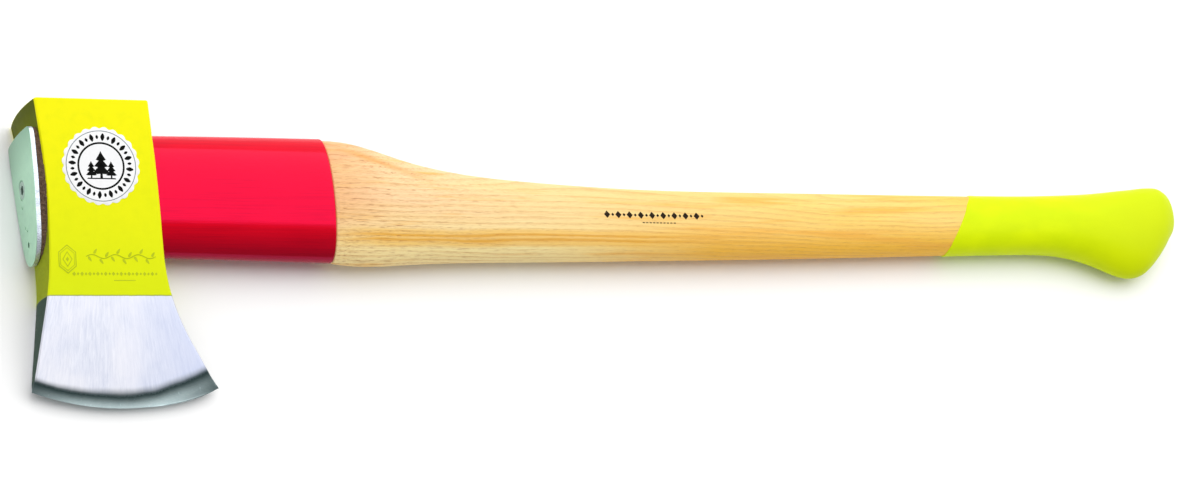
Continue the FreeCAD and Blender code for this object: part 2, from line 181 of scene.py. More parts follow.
# ------------------------------------------------------------------ materials
class NT:
    """Thin helper around a node tree."""
    def __init__(self, name):
        self.m = bpy.data.materials.new(name); self.m.use_nodes = True
        self.t = self.m.node_tree
        self.bsdf = self.t.nodes["Principled BSDF"]
        self.co = None

    def n(self, kind, **kw):
        nd = self.t.nodes.new(kind)
        for k, v in kw.items():
            setattr(nd, k, v)
        return nd

    def l(self, a, b):
        self.t.links.new(a, b)

    def coords(self):
        """Coordinates in the design frame, in millimetres."""
        if self.co is None:
            tc = self.n("ShaderNodeTexCoord")
            q = UNPLACE.to_3x3(); s = q.to_scale()[0]
            # row frame metres -> design frame millimetres
            mp = self.n("ShaderNodeMapping"); mp.vector_type = 'POINT'
            rot = UNPLACE.to_euler('XYZ')
            mp.inputs["Scale"].default_value = (1000, 1000, 1000)
            mp.inputs["Rotation"].default_value = rot
            mp.inputs["Location"].default_value = UNPLACE.to_translation()
            self.l(tc.outputs["Object"], mp.inputs["Vector"])
            self.co = mp.outputs["Vector"]
        return self.co

    def xyz(self):
        if not hasattr(self, "_xyz"):
            s = self.n("ShaderNodeSeparateXYZ"); self.l(self.coords(), s.inputs[0]); self._xyz = s.outputs
        return self._xyz

    def scaled(self, sx, sy, sz, off=(0, 0, 0), src=None):
        mp = self.n("ShaderNodeMapping")
        mp.inputs["Scale"].default_value = (sx, sy, sz); mp.inputs["Location"].default_value = off
        self.l(src or self.coords(), mp.inputs["Vector"]); return mp.outputs["Vector"]

    def noise(self, vec, scale=1.0, detail=3.0, rough=0.5, dist=0.0):
        nd = self.n("ShaderNodeTexNoise")
        nd.inputs["Scale"].default_value = scale; nd.inputs["Detail"].default_value = detail
        nd.inputs["Roughness"].default_value = rough; nd.inputs["Distortion"].default_value = dist
        self.l(vec, nd.inputs["Vector"]); return nd.outputs["Fac"]

    def ramp(self, fac, stops, interp='LINEAR'):
        nd = self.n("ShaderNodeValToRGB"); cr = nd.color_ramp; cr.interpolation = interp
        while len(cr.elements) > 1:
            cr.elements.remove(cr.elements[-1])
        cr.elements[0].position = stops[0][0]; cr.elements[0].color = col(stops[0][1])
        for p, c in stops[1:]:
            e = cr.elements.new(p); e.color = col(c)
        self.l(fac, nd.inputs[0]); return nd.outputs["Color"]

    def math(self, op, a, b=None, clamp=False):
        nd = self.n("ShaderNodeMath"); nd.operation = op; nd.use_clamp = clamp
        for i, v in enumerate((a, b)):
            if v is None:
                continue
            if isinstance(v, (int, float)):
                nd.inputs[i].default_value = v
            else:
                self.l(v, nd.inputs[i])
        return nd.outputs[0]

    def mix(self, fac, a, b, blend='MIX'):
        nd = self.n("ShaderNodeMix"); nd.data_type = 'RGBA'; nd.blend_type = blend
        for sock, v in ((nd.inputs[0], fac), (nd.inputs[6], a), (nd.inputs[7], b)):
            if isinstance(v, (int, float)):
                sock.default_value = v
            elif isinstance(v, (tuple, list)):
                sock.default_value = col(v)
            else:
                self.l(v, sock)
        return nd.outputs[2]

    def remap(self, v, a, b, c=0.0, d=1.0, smoothstep=False):
        nd = self.n("ShaderNodeMapRange"); nd.clamp = True
        nd.interpolation_type = 'SMOOTHSTEP' if smoothstep else 'LINEAR'
        for i, x in enumerate((a, b, c, d)):
            nd.inputs[i + 1].default_value = x
        self.l(v, nd.inputs[0]); return nd.outputs[0]

    def bump(self, height, strength=0.3, distance=0.0002, prev=None):
        nd = self.n("ShaderNodeBump"); nd.inputs["Strength"].default_value = strength
        nd.inputs["Distance"].default_value = distance
        self.l(height, nd.inputs["Height"])
        if prev is not None:
            self.l(prev, nd.inputs["Normal"])
        return nd.outputs["Normal"]

    def set(self, **kw):
        names = {"color": "Base Color", "rough": "Roughness", "metal": "Metallic", "normal": "Normal",
                 "coat": "Coat Weight", "coat_rough": "Coat Roughness", "spec": "Specular IOR Level",
                 "aniso": "Anisotropic", "ior": "IOR", "sheen": "Sheen Weight"}
        for k, v in kw.items():
            s = self.bsdf.inputs[names[k]]
            if isinstance(v, (int, float)):
                s.default_value = v
            elif isinstance(v, (tuple, list)):
                s.default_value = col(v)
            else:
                self.l(v, s)
        return self.m


def col(c):
    """sRGB 0-255 triple or linear 0-1 tuple to linear rgba."""
    if len(c) == 4:
        return tuple(c)
    if max(c) > 1.001:
        c = [((x / 255.0) / 12.92 if x / 255.0 <= 0.04045 else ((x / 255.0 + 0.055) / 1.055) ** 2.4) for x in c]
    return (c[0], c[1], c[2], 1.0)


def head_material():
    t = NT("head_paint_and_steel"); X, Y, Z = t.xyz()
    # paint line: straight, a little ragged
    wob = t.noise(t.scaled(0.35, 0.35, 0.35), 1.0, 4.0, 0.6)
    fine = t.noise(t.scaled(2.2, 0.9, 2.2, (3, 1, 7)), 1.0, 3.0, 0.6)
    line = t.math('ADD', t.math('MULTIPLY', t.math('SUBTRACT', wob, 0.5), 0.5), t.math('MULTIPLY', t.math('SUBTRACT', fine, 0.5), 0.35))
    y2 = t.math('ADD', Y, line)
    paint = t.remap(y2, GRIND_Y - 0.10, GRIND_Y + 0.10)
    # paint body colour: warm lemon near the poll, greener towards the line
    v = t.noise(t.scaled(0.03, 0.03, 0.03, (5, 2, 1)), 1.0, 3.0, 0.55)
    grad = t.remap(t.math('ADD', Y, t.math('MULTIPLY', t.math('SUBTRACT', v, 0.5), 30.0)), -62.0, 45.0)
    lemon = t.mix(grad, (0.69, 0.79, 0.003), (0.93, 0.87, 0.002))
    dust = t.noise(t.scaled(0.16, 0.16, 0.16, (9, 4, 2)), 1.0, 5.0, 0.62)
    lemon = t.mix(t.remap(dust, 0.44, 0.72, 0.0, 0.22), lemon, (0.66, 0.72, 0.006))
    # ground steel: cool and bright, with grinding lines that fan out towards the edge
    fan = t.math('DIVIDE', t.math('SUBTRACT', X, 48.0), t.math('ADD', 1.0, t.math('MULTIPLY', t.math('SUBTRACT', -62.0, Y), 0.0062)))
    fv = t.n("ShaderNodeCombineXYZ"); t.l(fan, fv.inputs[0]); t.l(Y, fv.inputs[1]); t.l(Z, fv.inputs[2])
    fv = fv.outputs[0]
    gr = t.noise(t.scaled(0.85, 0.020, 0.4, src=fv), 1.0, 5.0, 0.70, 0.0)
    gr2 = t.noise(t.scaled(2.6, 0.045, 1.0, (4, 4, 4), src=fv), 1.0, 3.0, 0.6)
    cloud = t.noise(t.scaled(0.045, 0.03, 0.05, (1, 8, 3)), 1.0, 3.0, 0.5)
    steel = t.mix(t.remap(gr, 0.34, 0.66), (0.56, 0.585, 0.69), (0.72, 0.735, 0.81))
    steel = t.mix(t.remap(gr2, 0.52, 0.72, 0.0, 0.45), steel, (0.48, 0.51, 0.62))
    steel = t.mix(t.remap(cloud, 0.42, 0.62, 0.0, 0.5), steel, (0.77, 0.765, 0.81))
    side = t.remap(X, 50.0, 105.0, 0.0, 0.60)
    steel = t.mix(side, steel, (0.46, 0.52, 0.74))
    # flanks below the line: forged grey-green scale
    nrm = t.n("ShaderNodeAttribute"); nrm.attribute_name = "flank"; flank = nrm.outputs["Fac"]
    scale = t.noise(t.scaled(0.5, 0.5, 0.5, (2, 2, 9)), 1.0, 5.0, 0.7)
    raw = t.mix(scale, (0.028, 0.052, 0.038), (0.075, 0.115, 0.092))
    steel = t.mix(flank, steel, raw)
    # painted shade on the painted end faces: dark olive stands in for yellow paint in shadow, darkest towards the
    # poll, full on the left end and about half on the right end
    end_paint_shade = t.mix(scale, (0.17, 0.21, 0.012), (0.34, 0.40, 0.018))
    end_paint_shade = t.mix(t.remap(Y, 10.0, 46.0, 0.0, 0.90), end_paint_shade, (0.045, 0.062, 0.006))
    lemon = t.mix(t.math('MULTIPLY', flank, t.remap(X, 35.0, 60.0, 0.97, 0.45)), lemon, end_paint_shade)
    hone = t.n("ShaderNodeAttribute"); hone.attribute_name = "bevel"; hd = hone.outputs["Fac"]
    hw = t.noise(t.scaled(0.10, 0.10, 0.10, (2, 2, 2)), 1.0, 2.0, 0.5)
    hd = t.math('ADD', hd, t.math('MULTIPLY', t.math('SUBTRACT', hw, 0.5), 0.7))
    bevel = t.remap(hd, -0.6, 0.6)
    fine_h = t.noise(t.scaled(0.5, 3.0, 0.5), 1.0, 4.0, 0.6)
    # painted reflections on the honed bevel: a dark core where it starts and a pale band rising towards the edge,
    # palest in the middle of the edge
    bevel_dark_reflection = t.mix(t.remap(fine_h, 0.3, 0.7), (0.022, 0.045, 0.046), (0.050, 0.080, 0.080))
    bevel_bright_reflection = t.mix(t.remap(fine_h, 0.3, 0.7), (0.64, 0.82, 0.84), (0.80, 0.95, 0.97))
    middle = t.remap(t.math('ABSOLUTE', t.math('SUBTRACT', X, 52.0)), 20.0, 54.0, 1.0, 0.15)
    bright_reflection_mask = t.math('MULTIPLY', t.remap(hd, 0.2, 4.0, smoothstep=True), middle)
    bevel_painted_reflection = t.mix(bright_reflection_mask, bevel_dark_reflection, bevel_bright_reflection)
    # painted shade: the polished shoulder is darkened softly before the bevel starts
    shade = t.remap(hd, -2.6, 0.4, smoothstep=True)
    shade = t.math('MULTIPLY', shade, t.math('SUBTRACT', 1.0, flank))
    steel = t.mix(t.math('MULTIPLY', shade, 0.92), steel, bevel_dark_reflection)
    steel = t.mix(bevel, steel, bevel_painted_reflection)
    color = t.mix(paint, steel, lemon)
    # the masked edge of the paint leaves a thin darker line
    rim = t.math('ABSOLUTE', t.math('SUBTRACT', y2, GRIND_Y + 0.15))
    color = t.mix(t.remap(rim, 0.10, 0.55, 0.62, 0.0), color, (0.26, 0.31, 0.10))
    metal = t.math('SUBTRACT', 1.0, paint)
    metal = t.math('MULTIPLY', metal, t.math('SUBTRACT', 0.72, t.math('MULTIPLY', t.math('MAXIMUM', flank, bevel), 0.42)))
    r_steel = t.remap(gr, 0.25, 0.75, 0.30, 0.44)
    r_steel = t.math('ADD', r_steel, t.math('MULTIPLY', flank, 0.34))
    r_steel = t.math('SUBTRACT', r_steel, t.math('MULTIPLY', bevel, 0.14))
    r_paint = t.remap(dust, 0.3, 0.7, 0.30, 0.42)
    r_paint = t.math('ADD', r_paint, t.math('MULTIPLY', flank, 0.30))
    rough = t.math('ADD', t.math('MULTIPLY', paint, r_paint), t.math('MULTIPLY', t.math('SUBTRACT', 1.0, paint), r_steel))
    # relief: orange peel and a few forging hollows under the paint, grinding lines on the steel
    peel = t.noise(t.scaled(0.9, 0.9, 0.9), 1.0, 4.0, 0.6)
    low = t.noise(t.scaled(0.11, 0.11, 0.11, (7, 7, 7)), 1.0, 3.0, 0.5)
    hp = t.math('MULTIPLY', t.math('ADD', t.math('MULTIPLY', peel, 0.35), low), paint)
    hs = t.math('MULTIPLY', gr, t.math('SUBTRACT', 1.0, paint))
    b1 = t.bump(hp, 0.35, 0.00025)
    b2 = t.bump(hs, 0.22, 0.00006, b1)
    b3 = t.bump(t.math('MULTIPLY', scale, flank), 0.5, 0.0002, b2)
    b4 = t.bump(paint, 0.5, 0.00010, b3)
    return t.set(color=color, metal=metal, rough=rough, normal=b4, spec=0.06)


def paint_material(name, c0, c1, c2, rough=(0.28, 0.4)):
    t = NT(name)
    a = t.noise(t.scaled(0.12, 0.12, 0.12, (2, 5, 1)), 1.0, 4.0, 0.6)
    b = t.noise(t.scaled(0.9, 0.9, 0.9), 1.0, 4.0, 0.6)
    c = t.mix(t.remap(a, 0.35, 0.68), c0, c1)
    c = t.mix(t.remap(b, 0.5, 0.78, 0.0, 0.3), c, c2)
    return t.set(color=c, rough=t.remap(b, 0.3, 0.7, *rough), normal=t.bump(b, 0.3, 0.0002), spec=0.12)


def sleeve_material():
    t = NT("sleeve_red_lacquer"); X, Y, Z = t.xyz()
    lines = t.noise(t.scaled(0.012, 1.3, 1.3), 1.0, 4.0, 0.6)
    fine = t.noise(t.scaled(0.05, 3.6, 3.6, (1, 3, 6)), 1.0, 2.0, 0.5)
    cloud = t.noise(t.scaled(0.03, 0.06, 0.06, (4, 1, 1)), 1.0, 3.0, 0.5)
    c = t.mix(t.remap(lines, 0.35, 0.7), (0.82, 0.001, 0.005), (0.60, 0.001, 0.003))
    c = t.mix(t.remap(cloud, 0.4, 0.7, 0.0, 0.5), c, (0.84, 0.002, 0.008))
    c = t.mix(t.remap(fine, 0.56, 0.8, 0.0, 0.25), c, (0.50, 0.0, 0.004))
    # painted shade: the lower side of the tube, towards the bit (-Y), is darkened
    c = t.mix(t.remap(t.math('MULTIPLY', Y, -1.0), 20.0, 39.0, 0.0, 0.72), c, (0.10, 0.001, 0.001))
    b = t.bump(lines, 0.16, 0.00010)
    b = t.bump(fine, 0.10, 0.00004, b)
    t.bsdf.inputs["Specular Tint"].default_value = (1.0, 0.06, 0.40, 1)
    return t.set(color=c, metal=0.14, rough=t.remap(lines, 0.3, 0.7, 0.07, 0.12), normal=b, coat=0.0, spec=1.0)


def wood_material(name="ash_wood", end_grain=False):
    t = NT(name); X, Y, Z = t.xyz()
    # growth rings: the pith lies far off to the side, so the broad face shows long, nearly straight lines that run
    # out slowly along the handle; the thick part behind the sleeve shows them closer together
    drift = t.noise(t.scaled(0.0045, 0.010, 0.010, (1, 2, 3)), 1.0, 2.0, 0.5)
    drift2 = t.noise(t.scaled(0.016, 0.06, 0.06, (6, 2, 3)), 1.0, 3.0, 0.5)
    y = t.math('ADD', Y, 95.0)
    y = t.math('ADD', y, t.math('MULTIPLY', t.math('SUBTRACT', drift, 0.5), 26.0))
    y = t.math('ADD', y, t.math('MULTIPLY', t.math('SUBTRACT', drift2, 0.5), 2.6))
    y = t.math('ADD', y, t.math('MULTIPLY', X, 0.016))
    zz = t.math('ADD', Z, 58.0)
    rad = t.math('SQRT', t.math('ADD', t.math('MULTIPLY', y, y), t.math('MULTIPLY', zz, zz)))
    ring = t.math('FRACT', t.math('MULTIPLY', rad, 0.36))
    late = t.ramp(ring, [(0.0, (0.0, 0.0, 0.0)), (0.50, (0.06, 0.06, 0.06)), (0.84, (0.60, 0.60, 0.60)), (0.95, (1, 1, 1)), (1.0, (0.0, 0.0, 0.0))])
    fibre = t.noise(t.scaled(0.012, 1.6, 1.6), 1.0, 5.0, 0.68)
    fibre2 = t.noise(t.scaled(0.03, 5.0, 5.0, (8, 1, 2)), 1.0, 3.0, 0.6)
    pore = t.noise(t.scaled(0.16, 3.8, 3.8, (1, 9, 4)), 1.0, 2.0, 0.5)
    vary = t.noise(t.scaled(0.012, 0.14, 0.14, (5, 5, 1)), 1.0, 3.0, 0.6)
    tone = t.noise(t.scaled(0.006, 0.05, 0.05, (3, 3, 0)), 1.0, 2.0, 0.5)
    down = t.math('MULTIPLY', Y, -1.0)
    # pale and slightly pink behind the sleeve, golden towards the knob; the lower side carries painted light and
    # shade
    pale = t.mix(t.remap(X, 188.0, 225.0), (0.84, 0.42, 0.22), (0.93, 0.64, 0.36))
    pale = t.mix(t.remap(X, 235.0, 330.0), pale, (0.89, 0.66, 0.31))
    pale = t.mix(t.remap(X, 330.0, 560.0), pale, (0.86, 0.58, 0.085))
    pale = t.mix(t.remap(tone, 0.38, 0.66, 0.0, 0.5), pale, (0.92, 0.70, 0.28))
    # painted light and shade on the lower side (towards the bit): lighter and golden near the sleeve, deeper orange
    # from about X 320 on
    low = t.mix(t.remap(X, 320.0, 440.0), (0.98, 0.83, 0.40), (0.93, 0.49, 0.028))
    pale = t.mix(t.remap(down, 12.0, 30.0, 0.0, 0.85), pale, low)
    streak = t.noise(t.scaled(0.010, 0.16, 0.16, (2, 7, 5)), 1.0, 3.0, 0.55)
    s_far = t.math('ADD', streak, t.remap(X, 330.0, 480.0, 0.0, 0.05))
    pale = t.mix(t.remap(s_far, 0.56, 0.70, 0.0, 0.7), pale, (0.87, 0.43, 0.055))
    # one golden band low on the side, with a darker line in it, and a flame under the upper edge behind the sleeve
    sway = t.math('MULTIPLY', t.math('SUBTRACT', drift2, 0.5), 5.0)
    off = t.math('ABSOLUTE', t.math('ADD', t.math('SUBTRACT', down, 26.5), sway))
    fade = t.math('MULTIPLY', t.remap(X, 190.0, 215.0, 0.35, 1.0), t.remap(X, 380.0, 520.0, 1.0, 0.0))
    pale = t.mix(t.math('MULTIPLY', t.remap(off, 3.6, 5.6, 0.70, 0.0), fade), pale, (0.90, 0.54, 0.10))
    off2 = t.math('ABSOLUTE', t.math('ADD', off, -1.3))
    pale = t.mix(t.math('MULTIPLY', t.remap(off2, 0.3, 1.1, 0.85, 0.0), fade), pale, (0.78, 0.38, 0.04))
    edge = t.math('ADD', Y, t.math('MULTIPLY', t.math('SUBTRACT', X, 198.0), 0.332))
    edge = t.math('ABSOLUTE', t.math('SUBTRACT', t.math('ADD', edge, sway), 28.0))
    fade2 = t.math('MULTIPLY', t.remap(X, 192.0, 208.0), t.remap(X, 222.0, 262.0, 1.0, 0.0))
    pale = t.mix(t.math('MULTIPLY', t.remap(edge, 0.6, 4.0, 0.8, 0.0), fade2), pale, (0.84, 0.37, 0.10))
    c = t.mix(t.math('MULTIPLY', late, t.remap(vary, 0.38, 0.66, 0.12, 0.55)), pale, (0.66, 0.31, 0.07))
    c = t.mix(t.remap(fibre, 0.44, 0.74, 0.0, 0.40), c, (0.74, 0.42, 0.13))
    c = t.mix(t.remap(fibre2, 0.55, 0.8, 0.0, 0.30), c, (0.98, 0.80, 0.42))
    pores = t.math('MULTIPLY', t.remap(pore, 0.545, 0.62), t.remap(ring, 0.25, 0.8, 0.35, 1.0))
    near_neck = t.remap(X, 200.0, 330.0, 1.0, 0.35)
    c = t.mix(t.math('MULTIPLY', t.math('MULTIPLY', pores, near_neck), 0.85), c, (0.44, 0.16, 0.05))
    h = t.math('ADD', t.math('MULTIPLY', fibre, 0.6), t.math('MULTIPLY', fibre2, 0.3))
    h = t.math('SUBTRACT', h, t.math('MULTIPLY', pores, 0.8))
    return t.set(color=c, rough=t.remap(fibre, 0.3, 0.7, 0.42, 0.56), normal=t.bump(h, 0.25, 0.00012), spec=0.2)


def zinc_material(name, c0, c1, rough=(0.34, 0.52), metal=0.85, top=0.0):
    t = NT(name); X, Y, Z = t.xyz()
    a = t.noise(t.scaled(0.22, 0.22, 0.22), 1.0, 5.0, 0.62)
    s = t.n("ShaderNodeTexVoronoi"); s.inputs["Scale"].default_value = 0.35
    t.l(t.coords(), s.inputs["Vector"])
    sp = t.remap(s.outputs["Distance"], 0.0, 0.9)
    g = t.noise(t.scaled(6.0, 0.25, 6.0), 1.0, 3.0, 0.55)
    c = t.mix(t.remap(a, 0.34, 0.70), c0, c1)
    c = t.mix(t.math('MULTIPLY', sp, 0.20), c, c1)
    c = t.mix(t.remap(g, 0.5, 0.8, 0.0, 0.25), c, (0.30, 0.38, 0.33))
    if top:
        c = t.mix(t.remap(Y, 12.0, 34.0, 0.0, top), c, (0.13, 0.28, 0.19))
    b = t.bump(a, 0.25, 0.00015); b = t.bump(g, 0.2, 0.00004, b)
    return t.set(color=c, metal=metal, rough=t.remap(a, 0.3, 0.7, *rough), normal=b)


def sheared_material():
    t = NT("plate_sheared_edge"); X, Y, Z = t.xyz()
    v = t.noise(t.scaled(0.7, 2.4, 2.4), 1.0, 4.0, 0.65)
    c = t.mix(t.remap(v, 0.3, 0.7), (0.42, 0.50, 0.62), (0.84, 0.88, 0.97))
    return t.set(color=c, metal=0.8, rough=t.remap(v, 0.3, 0.7, 0.22, 0.4), normal=t.bump(v, 0.6, 0.0002))


def bedding_material():
    t = NT("bedding_rough_fibre")
    a = t.noise(t.scaled(0.5, 1.1, 1.1), 1.0, 6.0, 0.72)
    b = t.noise(t.scaled(1.2, 4.5, 4.5, (3, 1, 2)), 1.0, 4.0, 0.7)
    c = t.mix(t.remap(a, 0.34, 0.68), (0.045, 0.026, 0.018), (0.20, 0.12, 0.075))
    c = t.mix(t.remap(b, 0.56, 0.74, 0.0, 0.65), c, (0.46, 0.38, 0.30))
    h = t.math('ADD', a, t.math('MULTIPLY', b, 0.6))
    return t.set(color=c, rough=t.remap(b, 0.3, 0.7, 0.75, 0.95), normal=t.bump(h, 0.9, 0.0006), spec=0.2)


def dip_material():
    t = NT("grip_dip_coat"); X, Y, Z = t.xyz()
    a = t.noise(t.scaled(0.04, 0.07, 0.07, (1, 3, 3)), 1.0, 3.0, 0.5)
    b = t.noise(t.scaled(0.5, 0.9, 0.9), 1.0, 4.0, 0.6)
    g = t.noise(t.scaled(0.02, 1.4, 1.4), 1.0, 3.0, 0.6)
    c = t.mix(t.remap(a, 0.36, 0.66), (0.63, 0.79, 0.001), (0.69, 0.84, 0.001))
    c = t.mix(t.remap(X, 700.0, 760.0, 0.0, 0.8), c, (0.59, 0.70, 0.001))
    c = t.mix(t.remap(b, 0.52, 0.8, 0.0, 0.2), c, (0.58, 0.70, 0.002))
    n = t.bump(b, 0.12, 0.0002); n = t.bump(g, 0.10, 0.00012, n)
    return t.set(color=c, rough=t.remap(b, 0.3, 0.7, 0.34, 0.44), normal=n, spec=0.07)


def film_material(name, c0, c1, rough=0.45, spec=0.5):
    t = NT(name)
    a = t.noise(t.scaled(0.5, 0.5, 0.5), 1.0, 4.0, 0.6)
    return t.set(color=t.mix(t.remap(a, 0.3, 0.7), c0, c1), rough=t.remap(a, 0.3, 0.7, rough - 0.05, rough + 0.08),
                 normal=t.bump(a, 0.15, 0.0001), spec=spec)


def steel_plain(name, c0, c1):
    return zinc_material(name, c0, c1, (0.3, 0.45), 1.0)


M_HEAD = head_material()
M_RELIEF = paint_material("cheek_relief_paint", (0.43, 0.51, 0.005), (0.50, 0.58, 0.005), (0.37, 0.43, 0.004))
M_SLEEVE = sleeve_material()
M_WOOD = wood_material()
M_ZINC = zinc_material("zinc_plate", (0.40, 0.66, 0.49), (0.50, 0.75, 0.57), top=0.6)
M_SHEAR = sheared_material()
M_BED = bedding_material()
M_DIP = dip_material()
M_SCREW = zinc_material("zinc_screw", (0.30, 0.42, 0.36), (0.42, 0.56, 0.48), (0.28, 0.42))
M_SOCKET = film_material("socket_shadow_steel", (0.13, 0.18, 0.155), (0.20, 0.27, 0.235), 0.6, 0.2)
M_WHITE = film_material("label_white", (0.90, 0.90, 0.90), (0.84, 0.84, 0.85))
M_GREY = film_material("label_grey", (0.84, 0.84, 0.85), (0.88, 0.88, 0.89))
M_INK = film_material("label_ink", (0.003, 0.003, 0.003), (0.008, 0.008, 0.008), 0.6, 0.03)
M_RINGINK = film_material("label_ring_ink", (0.12, 0.16, 0.18), (0.17, 0.21, 0.23), 0.5, 0.1)
M_BURN = film_material("handle_print_ink", (0.012, 0.008, 0.005), (0.035, 0.022, 0.013), 0.6, 0.05)
M_WEDGE = steel_plain("steel_wedge", (0.35, 0.35, 0.36), (0.5, 0.5, 0.52))

for node, mat in (("ring_wedge", M_WEDGE), ("wooden_wedge", M_WOOD)):
    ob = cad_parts[node]
    ob.data.materials.clear(); ob.data.materials.append(mat)

# ------------------------------------------------------------------ head
LEFT = [(-136.0, -4.5, 0.1), (-126.0, -2.6, 0.1), (-110.3, 0.3, 0.15), (-87.8, 4.6, 0.4), (-75.0, 7.0, 0.8), (-62.0, 9.3, 1.7),
        (-48.0, 11.0, 3.2), (-33.0, 11.7, 3.6), (-14.5, 11.8, 3.4), (0.0, 11.4, 3.1), (13.1, 10.6, 2.8), (25.0, 9.6, 2.6),
        (38.0, 8.1, 2.5), (50.8, 6.6, 2.4), (56.0, 5.9, 2.3)]
XL = pchip([p[0] for p in LEFT], [p[1] for p in LEFT])
CROWN = pchip([p[0] for p in LEFT], [p[2] for p in LEFT])
XR = pchip([-126.0, -115.2, -106.4, -96.2, -82.6, -66.5, -54.0, -40.0, -13.7, 13.7, 30.7, 38.0, 50.8],
           [118.5, 109.2, 102.8, 97.1, 89.8, 83.4, 80.5, 79.0, 78.2, 76.9, 75.7, 75.2, 74.2])


HONE_TAN = pchip([-12.0, 2.0, 25.0, 50.0, 80.0, 100.0, 120.0], [0.84, 0.70, 0.45, 0.352, 0.365, 0.42, 0.47])


def half_z(x, y):
    if y >= GRIND_Y:
        w = POLL_HALF + (POLL_HALF - GRIND_HALF) / (POLL_Y - GRIND_Y) * (y - POLL_Y)
    else:
        s = (BEVEL_HALF - GRIND_HALF) / (BEVEL_Y - GRIND_Y)
        w = GRIND_HALF + s * (y - GRIND_Y)
    r = math.hypot(x - EDGE_CX, y - EDGE_CY)
    b = EDGE_LAND + max(EDGE_R - r, 0.0) * HONE_TAN(x)
    # soft minimum, so the shoulder of the bevel is rolled over
    k = 0.35
    hh = max(k - abs(w - b), 0.0) / k
    return max(min(w, b) - hh * hh * k * 0.25, 0.05), w, b


